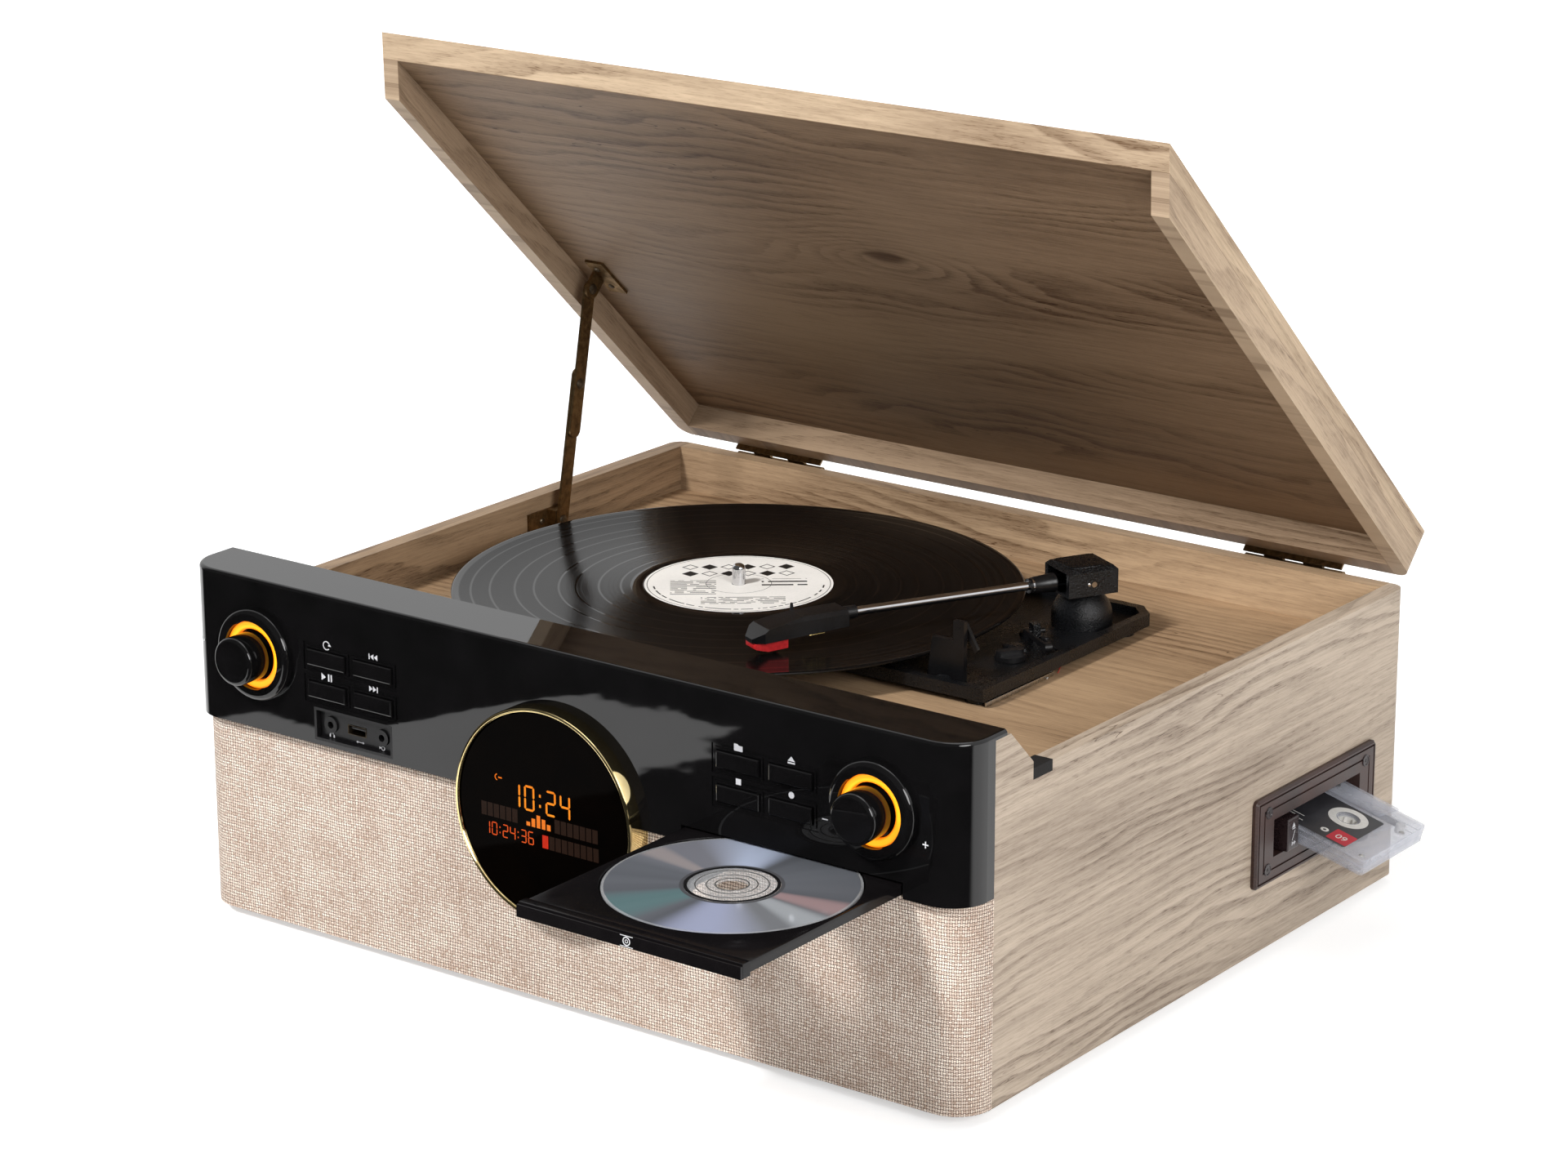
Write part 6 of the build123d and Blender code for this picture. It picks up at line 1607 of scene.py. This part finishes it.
@dataclass
class CassettePlayer:
    """The cassette slot in the right side, and the cassette."""

    face: float = 243.5
    slot: Spot = (109.7, 64.6)
    screw_half: Spot = (48.6, 15.2)
    key: Point = (246.5, 81.0, 63.6)
    middle: float = -9.3
    half: Spot = (50.2, 31.9)
    thick: float = 8.7
    head_half: float = 33.0
    head_width: float = 15.0
    head_thick: float = 11.7
    hub_x: float = 21.25
    hub_radius: float = 5.6
    tilt: float = 14.7
    behind: float = 119.6
    hang: float = 61.1

    def build(self) -> None:
        """Dresses the slot's frame and builds the cassette."""
        dress(BROWN, "cassette_frame")
        dress(BLACK_MATTE, "cassette_mechanism")
        dress(BLACK_SATIN, "cassette_basket")
        dress(KEY_BROWN, "eject_key")
        self.mark_key()
        self.cut_screws()
        self.mould_shell()
        self.screw_shell()
        self.wind_tape()
        self.stick_labels()

    def place(self) -> Matrix:
        """The cassette's own place: x out of the slot, y to the rear, z up from its middle."""
        turn = math.radians(self.tilt)
        x_dir, z_dir = (math.cos(turn), 0, -math.sin(turn)), (math.sin(turn), 0, math.cos(turn))
        origin = Vector((self.face, self.behind, self.hang)) + self.middle * Vector(x_dir)
        return set_at(origin, x_dir, z_dir)

    def hubs(self) -> list[Matrix]:
        """The places of the two hubs on the cassette."""
        return [moved(x, 0) for x in (-self.hub_x, self.hub_x)]

    def mark_key(self) -> None:
        """Prints an arrow, a slanting stroke and a double arrow down the key."""
        marks = Mark()
        marks.shape([(-1.5, 3.4), (1.5, 3.4), (0, 6.0)])
        marks.box(2.9, 0.5, 0, 2.7)
        marks.shape([(-1.5, -3.4), (-1.0, -3.4), (1.5, 1.4), (1.0, 1.4)])
        for y in (-1.5, 0.5):
            marks.shape([(y, -6.2), (y + 1.9, -5.0), (y, -3.9)])
        marks.piece("eject_mark", INK, "eject", at=set_at(self.key, *RIGHT))

    def cut_screws(self) -> None:
        """Sets a round head with a cross recess at each corner of the frame."""
        bowl = [(0, 0.18), (2.2, 0.18), (2.6, 0.55), (3.0, 0.55), (3.3, 0.1), (3.3, -0.2), (0, -0.2)]
        heads, crosses = Form(), Form()
        for side_y in (-1, 1):
            for side_z in (-1, 1):
                y, z = self.slot[0] + side_y * self.screw_half[0], self.slot[1] + side_z * self.screw_half[1]
                place = set_at((self.face, y, z), *RIGHT)
                heads.join(Form().turned(bowl, 40), place)
                crosses.join(cross_recess(1.7, 0.26), place @ Matrix.Rotation(0.5 * side_y, 4, "Z"))
        heads.piece("frame_screws", KEY_BROWN, "cabinet", "brown_plastic")
        crosses.piece("frame_screw_recesses", BLACK_MATTE, "cabinet")

    def outline(self, inset: float) -> list[Spot]:
        """The shell's corners in plan, drawn in by an inset."""
        return box_corners(2 * (self.half[0] - inset), 2 * (self.half[1] - inset))

    def mould_shell(self) -> None:
        """Moulds the two halves of the shell with its thick part along the head opening."""
        shell = Form()
        top, r = self.thick / 2, self.hub_radius
        near, far, wide = self.half[1] - self.head_width, self.half[1], self.head_half
        head = [(-wide + 3, near), (wide - 3, near), (wide, far), (-wide, far)]
        for sign in (-1, 1):
            edges = shell.loop(self.outline(0), sign * (top - 1.1), 2.6)
            for x in (-self.hub_x, self.hub_x):
                edges += shell.ring((x, 0), r, sign * (top - 1.1), 48)
            shell.fill(edges, sign * 1.1, bevel=0.25)
            wall = shell.loop(self.outline(0.05), sign * 0.08, 2.6) + shell.loop(self.outline(1.3), sign * 0.08, 1.4)
            shell.fill(wall, sign * (top - 1.22))
            turned = Matrix.Diagonal((1, 1, sign, 1))
            shell.join(Form().plate(head, top + 0.02, self.head_thick / 2, bevel=0.5), turned)
            places = [hub @ turned for hub in self.hubs()]
            shell.each(places, lambda: Form().washer(r, 6.3, 0.3, top - 1.25, 40))
        shell.piece("cassette_shell", Frosted("clear_shell_plastic"), "tape", "clear_shell", self.place(), "cassette")

    def screw_shell(self) -> None:
        """Sets the five screws of the shell, seen on both its faces."""
        screws = Form()
        for x, y in ((-46, -27.5), (46, -27.5), (-46, 13.5), (46, 13.5), (0, 24.5)):
            rise = (self.head_thick if y > 20 else self.thick) / 2 - 0.45
            under = moved(x, y, -rise) @ Matrix.Rotation(math.pi, 4, "X")
            screws.each((moved(x, y, rise), under), lambda: screw_head(1.7, 0.5))
        screws.piece("cassette_screws", STEEL, "tape", "steel", self.place())

    def wind_tape(self) -> None:
        """Winds the tape on the two hubs and lays the liner, rollers and pressure pad."""
        packs = Form()
        for place, radius in zip(self.hubs(), (24.0, 12.5)):
            packs.join(Form().washer(10.9, radius, -1.9, 1.9, 96), place)
        packs.block((-38.0, 26.6, -1.9), (38.0, 26.75, 1.9))
        packs.piece("tape_packs", TAPE, "tape", at=self.place())
        ring = [(5.3, -2.3), (5.3, 2.3), (6.6, 2.3), (6.9, 2.0), (10.8, 2.0), (10.8, -2.0), (6.9, -2.0), (6.6, -2.3)]
        teeth = [Matrix.Rotation(math.radians(60 * tooth + 14), 4, "Z") for tooth in range(6)]
        hubs = Form()
        for place in self.hubs():
            hub = Form().turned(ring, 64, closed=True)
            hubs.join(hub.each(teeth, lambda: Form().block((4.0, -0.55, -2.3), (5.5, 0.55, 2.3), 0.15)), place)
        hubs.each((moved(-40.0, 24.0), moved(40.0, 24.0)), lambda: Form().rod(2.6, -2.4, 2.4, 32, 0.3))
        hubs.piece("tape_hubs", WHITE, "tape", at=self.place())
        pad = Form().block((-7.0, 28.2, -2.2), (7.0, 28.5, 2.2)).block((-3.4, 27.0, -1.8), (3.4, 28.2, 1.8), 0.2)
        pad.piece("pressure_pad", ALUMINIUM, "tape", at=self.place())

    def stick_labels(self) -> None:
        """Sticks the dark label, the red patch and the white marks."""
        top = self.thick / 2
        low, high = top + 0.08, top + 0.13
        label = Form()
        edges = label.loop([(-44.5, -29.5), (36.0, -29.5), (36.0, 12.6), (-44.5, 12.6)], top + 0.01, 1.6)
        for x in (-self.hub_x, self.hub_x):
            edges += label.ring((x, 0), 10.4, top + 0.01, 64)
        label.fill(edges, 0.06).piece("cassette_label", LABEL_DARK, "tape", at=self.place())
        marks = Form().each(self.hubs(), lambda: Form().washer(6.4, 10.6, top + 0.02, top + 0.1, 64))
        marks.join(Form().washer(0.9, 2.2, low, high, 40), moved(20.0, -22.0))
        for number, stop in enumerate((8.0, 2.0, 6.0)):
            line = [(-30.0, 0), (stop, 0), (stop, 0.5), (-30.0, 0.5)]
            marks.join(Form().plate(line, low, high), moved(0, -24.5 + 2.4 * number))
        turned = moved(30.0, -21.5, top + 0.14) @ Matrix.Rotation(math.pi, 4, "Z")
        marks.join(Form().figures("60", 4.6, 0.05), turned)
        marks.piece("cassette_marks", WHITE, "tape", at=self.place(), settle=False)
        patch = Form().plate([(24.0, -28.0), (36.0, -28.0), (36.0, -15.0), (24.0, -15.0)], top + 0.075, top + 0.11, 0.8)
        patch.piece("cassette_patch", LABEL_RED, "tape", at=self.place())


@dataclass
class RecordPlayer:
    """The platter, the record and the tonearm."""

    spindle: Spot = (-56.1, 17.1)
    record_low: float = 154.3
    record_high: float = 156.0
    record_radius: float = 150.8
    label_radius: float = 50.0
    pivot: Point = (107.0, 96.7, 169.05)
    arm_azimuth: float = 28.0
    head_offset: float = 4.0
    tube_end: float = 139.0
    base_top: float = 144.45
    base_right: float = 133.0
    collar: Spot = (17.0, 15.0)
    collar_radii: Spot = (5.0, 3.8)
    contacts: tuple[float, ...] = (-3.3, -1.1, 1.1, 3.3)

    def build(self) -> None:
        """Dresses the turning parts, presses the record and details the tonearm."""
        dress(BLACK_GRAINED, "turntable_base", "tonearm_turret")
        dress(BLACK_SATIN, "platter", "arm_rest", "arm_clip", "headshell", "cartridge", "cue_lever", "speed_lever")
        dress(RUBBER, "platter_mat", "drive_belt")
        dress(CHROME, "spindle", "tonearm_tube")
        dress(STEEL, "turntable_motor", "motor_pulley")
        self.press_record()
        self.detail_head()
        self.detail_pivot()
        self.detail_base()

    def arm(self) -> Matrix:
        """The tonearm's own place: x along it from the pivot, y to its left, z up from its axis."""
        turn = math.radians(self.arm_azimuth)
        return set_at(self.pivot, (-math.sin(turn), -math.cos(turn), 0))

    def shell(self) -> Matrix:
        """The headshell's own place: x along it from the tube's end."""
        turn = math.radians(self.head_offset)
        return self.arm() @ moved(self.tube_end, 0) @ Matrix.Rotation(turn, 4, "Z")

    def press_record(self) -> None:
        """Turns the record with its rim, lead-in and sunk grooves, and lays the label on it."""
        low, high, r = self.record_low, self.record_high, self.record_radius
        label = self.label_radius
        profile = [
            (3.6, low + 0.1), (label, low + 0.1), (label + 7, low + 0.3), (r - 4, low + 0.3), (r - 2, low),
            (r - 0.5, low + 0.1), (r, low + 0.55), (r, high - 0.55), (r - 0.5, high - 0.1), (r - 1.2, high),
            (r - 2.4, high - 0.1), (r - 4.4, high - 0.42), (label + 7.5, high - 0.42), (label + 6.5, high - 0.3),
            (label + 0.9, high - 0.12), (label + 0.4, high - 0.25), (label, high - 0.12), (3.6, high - 0.12),
        ]
        disc = Form().turned(profile, 256, closed=True)
        middle = moved(*self.spindle)
        disc.piece("record_disc", Vinyl("record_vinyl_face"), "turntable", "record_vinyl", middle, "record")
        sheet = Form().washer(3.7, label - 0.3, high - 0.11, high, 128)
        sheet.piece("record_label", Label("record_label_paper"), "turntable", at=middle)

    def detail_head(self) -> None:
        """Adds the stylus holder, the gilt pins with their leads and the finger lift."""
        wall = [(33.6, -11.2), (45.0, -11.6), (51.9, -9.6), (52.0, -6.8), (33.6, -6.7)]
        places = [set_at((0, side * 5.05 + 0.45, 0), *FRONT) for side in (-1, 1)]
        guard = Form().each(places, lambda: Form().plate(wall, 0, 0.9, bevel=0.2))
        guard.block((36.0, -4.8, -11.4), (46.0, 4.8, -10.9), 0.15).block((49.8, -4.9, -9.6), (52.3, 4.9, -6.9), 0.5)
        guard.piece("stylus_guard", RED, "arm_lift", at=self.shell())
        places = [set_at((0, y, -7.4), *RIGHT) for y in self.contacts]
        pins = Form().each(places, lambda: Form().rod(0.5, 11.5, 20.5, 16, 0.12))
        pins.piece("cartridge_pins", COPPER_PIN, "arm_lift", "gold", self.shell())
        places = [set_at((5.4, y * 0.7, -6.0), (0, 1, 0), (1, y * 0.04, -0.2)) for y in self.contacts]
        leads = Form().each(places, lambda: Form().rod(0.3, 0.0, 6.8, 12))
        leads.piece("cartridge_leads", RUBBER, "arm_lift", at=self.shell())
        tab = Form().plate([(23, 0), (25.5, 0), (25.2, 7.5), (23.8, 7.5)], 0, 0.7, corner=0.5, bevel=0.2)
        place = self.shell() @ moved(0, -7.2) @ Matrix.Rotation(math.pi / 2, 4, "X")
        tab.piece("finger_lift", BLACK_SATIN, "arm_lift", "black_gloss", place)

    def detail_pivot(self) -> None:
        """Adds the turret's screws, the hump on its hood and the collar's sleeve."""
        places = [set_at((3.0, side * 13.0, 0.2), (1, 0, 0), (0, side, 0)) for side in (-1, 1)]
        screws = Form().each(places, lambda: screw_head(1.0, 0.35))
        screws.piece("turret_screws", CHROME, "arm_swing", "chrome", self.arm())
        hood = [(-12.0, -10.5), (13.5, -10.5), (11.5, 10.5), (-8.0, 10.5)]
        cap = Form().plate(hood, 8.5, 9.5, corner=4.0, bevel=0.9, segments=4)
        cap.piece("turret_cap", BLACK_GRAINED, "arm_swing", "black_matte", self.arm())
        (start, length), (wide, slim) = self.collar, self.collar_radii
        profile = [
            (wide + 0.1, 0), (wide + 0.12, 1.2), (wide - 0.1, 1.6), (slim + 0.5, length - 3.2),
            (slim + 0.5, length - 2.6), (slim + 0.12, length - 2.4), (slim + 0.1, length), (2.7, length),
            (2.7, length - 0.3), (wide - 0.3, 0.01),
        ]
        sleeve = Form().turned(profile, 48, closed=True)
        sleeve.piece("arm_collar", BLACK_SATIN, "arm_lift", "black_matte", self.arm() @ set_at((start, 0, 0), *RIGHT))

    def detail_base(self) -> None:
        """Adds the base's button, pad, disc and lever, and the strip and leads below it."""
        top = self.base_top
        ribs = [
            (0, 3.0), (2.0, 3.0), (2.3, 2.6), (2.9, 2.6), (3.2, 2.9), (3.8, 2.8), (4.1, 2.2), (4.8, 2.1), (5.1, 1.2),
            (5.8, 1.1), (6.1, 0), (0, 0),
        ]
        oval = [(0, 2.0), (4.5, 2.0), (5.6, 1.5), (6.0, 0), (0, 0)]
        steps = [(0, 3.4), (2.8, 3.4), (3.4, 3.0), (3.6, 1.6), (5.0, 1.5), (5.3, 0), (0, 0)]
        for name, profile, finish, place in (
            ("base_button", ribs, BLACK_GRAINED, moved(103.5, -25.2, top)),
            ("base_pad", oval, BLACK_GRAINED, moved(103.0, 41.0, top) @ Matrix.Diagonal((1.25, 0.8, 1, 1))),
            ("base_disc", steps, BLACK_SATIN, moved(96.0, 64.5, top)),
        ):
            Form().turned(profile).piece(name, finish, "cabinet", "black_gloss", place)
        lever = [(-1.5, -1.6), (19.5, -1.0), (21.0, 0), (19.5, 1.0), (-1.5, 1.6)]
        trim = Form().plate(lever, 1.2, 2.6, corner=0.6, bevel=0.35).join(Form().rod(2.3, 0, 3.2, 28, 0.4))
        place = moved(110.0, 58.0, top) @ Matrix.Rotation(math.radians(-35), 4, "Z")
        trim.piece("base_trim_lever", BLACK_SATIN, "cabinet", "black_gloss", place)
        right = self.base_right
        strip = Form().block((right - 1.2, -29.0, 138.4), (right - 0.2, 32.0, 140.6), 0.2)
        strip.piece("base_strip", STEEL, "cabinet", "steel")
        for name, finish, x, y, lean in (("white", WHITE, 6.0, 39.0, 0.45), ("red", RED, 7.5, 50.0, 0.5)):
            place = set_at((right - x, y, 138.8), (0, 1, 0), (lean, -1.0, 0.0))
            Form().rod(0.6, 0.0, 16.0, 12).piece(f"base_lead_{name}", finish, "cabinet", at=place)


@dataclass
class Back:
    """The connections at the back and the loudspeakers inside."""

    plate_rear: float = 202.3
    plate_z: float = 65.0
    phono_x: float = -150.0
    phono_half: float = 7.0
    inlet_x: float = -80.0
    screws: tuple[Spot, ...] = ((-177.0, 40.0), (-63.0, 40.0), (-177.0, 90.0), (-63.0, 90.0))

    def build(self) -> None:
        """Dresses the rear plate, and fits its coloured sockets, pins and screw recesses."""
        dress(BLACK_SATIN, "rear_plate")
        dress(BLACK_MATTE, "speakers")
        ring = [(2.3, 8.2), (2.3, 9.15), (3.2, 9.2), (4.1, 9.1), (4.1, 8.2)]
        half = self.phono_half
        for name, finish, across in (("white", WHITE, -half), ("red", RED, half)):
            places = [self.place(self.phono_x + across, self.plate_z + up) for up in (-half, half)]
            rings = Form().each(places, lambda: Form().turned(ring, 48, closed=True))
            rings.piece(f"phono_rings_{name}", finish, "cabinet")
        places = [self.place(self.inlet_x + x, self.plate_z) for x in (-4.2, 4.2)]
        pins = Form().each(places, lambda: Form().rod(1.2, -9.0, -1.0, 20, 0.4))
        pins.piece("inlet_pins", CHROME, "cabinet", "chrome")
        crosses = Form().each([self.place(*spot) for spot in self.screws], lambda: cross_recess(2.2, 1.66))
        crosses.piece("plate_screw_recesses", BLACK_MATTE, "cabinet")

    def place(self, x: float, z: float) -> Matrix:
        """A place on the rear plate, facing the rear."""
        return set_at((x, self.plate_rear, z), *REAR)


# ------------------------------------------------------------------- the studio


@dataclass(frozen=True)
class Lamp:
    """An oval lamp: its place, its width and height, its power and whether polished surfaces show it."""

    name: str
    place: Point
    size: Spot
    power: float
    shown: bool = True


@dataclass
class Studio:
    """The floor, the lamps and the camera."""

    camera_place: Point = (1.279436, -1.7271, 0.8407)
    azimuth: float = 35.7015
    elevation: float = 17.5017
    roll: float = 0.17956
    lens: float = 100.48
    shift: Spot = (-0.0521, 0.0062)
    lamps: tuple[Lamp, ...] = (
        Lamp("key_lamp", (-1.0, -3.2, 3.3), (0.7, 0.7), 186.0, False),
        Lamp("side_lamp", (2.6, -1.2, 1.4), (1.6, 1.6), 56.0),
        Lamp("top_lamp", (0.2, 0.3, 3.0), (2.0, 2.0), 10.0),
    )
    aim: Point = (0.0, 0.0, 0.15)
    floor_half: float = 9.0
    floor_drop: float = 0.0002

    def build(self) -> None:
        """Sets up the studio round the object."""
        self.lay_floor()
        self.light_world()
        self.hang_lamps()
        self.set_camera()

    def lay_floor(self) -> None:
        """Lays a wide floor just under the feet."""
        mesh = bmesh.new()
        bmesh.ops.create_grid(mesh, x_segments=8, y_segments=8, size=self.floor_half)
        bmesh.ops.translate(mesh, verts=mesh.verts[:], vec=(0, 0, -self.floor_drop))
        show(mesh, "studio_floor", PaleFloor("pale_floor"))

    def light_world(self) -> None:
        """Fills the room with even light; reflections find it white behind and dim in front."""
        world = bpy.data.worlds.new("studio_world")
        bpy.context.scene.world = world
        world.use_nodes = True
        graph = Graph(world.node_tree)
        seen, mirrored = graph.seen()
        towards = graph.add("ShaderNodeTexCoord").outputs["Generated"]
        behind = graph.fade(graph.split(towards)[1], -0.3, 0.05, 0.1, 0.95)
        even = graph.times(graph.fade(seen, 0.0, 1.0, 0.255, 1.0), graph.minus(1.0, mirrored))
        back = world.node_tree.nodes["Background"]
        back.inputs["Color"].default_value = (1, 1, 1, 1)
        graph.feed(back.inputs["Strength"], graph.plus(even, graph.times(mirrored, behind)))

    def hang_lamps(self) -> None:
        """Hangs the soft lamps and aims them at the object."""
        for lamp in self.lamps:
            light = bpy.data.lights.new(lamp.name, "AREA")
            light.shape = "ELLIPSE"
            light.size, light.size_y = lamp.size
            light.energy = lamp.power
            holder = placed(lamp.name, light)
            holder.location = lamp.place
            holder.visible_glossy = lamp.shown
            towards = Vector(self.aim) - Vector(lamp.place)
            holder.rotation_euler = towards.to_track_quat("-Z", "Y").to_euler()

    def set_camera(self) -> None:
        """Sets the camera at its measured place and makes it the scene's."""
        turn, rise, tilt = (math.radians(v) for v in (self.azimuth, self.elevation, self.roll))
        ahead = Vector((-math.sin(turn) * math.cos(rise), math.cos(turn) * math.cos(rise), -math.sin(rise)))
        level = Vector((math.cos(turn), math.sin(turn), 0))
        above = level.cross(ahead)
        right = level * math.cos(tilt) + above * math.sin(tilt)
        up = above * math.cos(tilt) - level * math.sin(tilt)
        data = bpy.data.cameras.new("studio_camera")
        data.sensor_width = 36.0
        data.lens = self.lens
        data.shift_x, data.shift_y = self.shift
        camera = placed("studio_camera", data)
        turned = Matrix((right, up, -ahead)).transposed().to_4x4()
        camera.matrix_world = Matrix.Translation(self.camera_place) @ turned
        bpy.context.scene.camera = camera


def main() -> None:
    """Builds the studio and every sub-assembly in order."""
    logging.basicConfig(level=logging.INFO, format="%(name)s: %(message)s")
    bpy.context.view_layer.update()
    bpy.context.scene.view_settings.view_transform = "Standard"
    Studio().build()
    for part in (Cabinet(), Lid(), Controls(), Display(), DiscPlayer(), CassettePlayer(), RecordPlayer(), Back()):
        LOG.info("building %s", type(part).__name__)
        part.build()


if __name__ == "__main__":
    main()
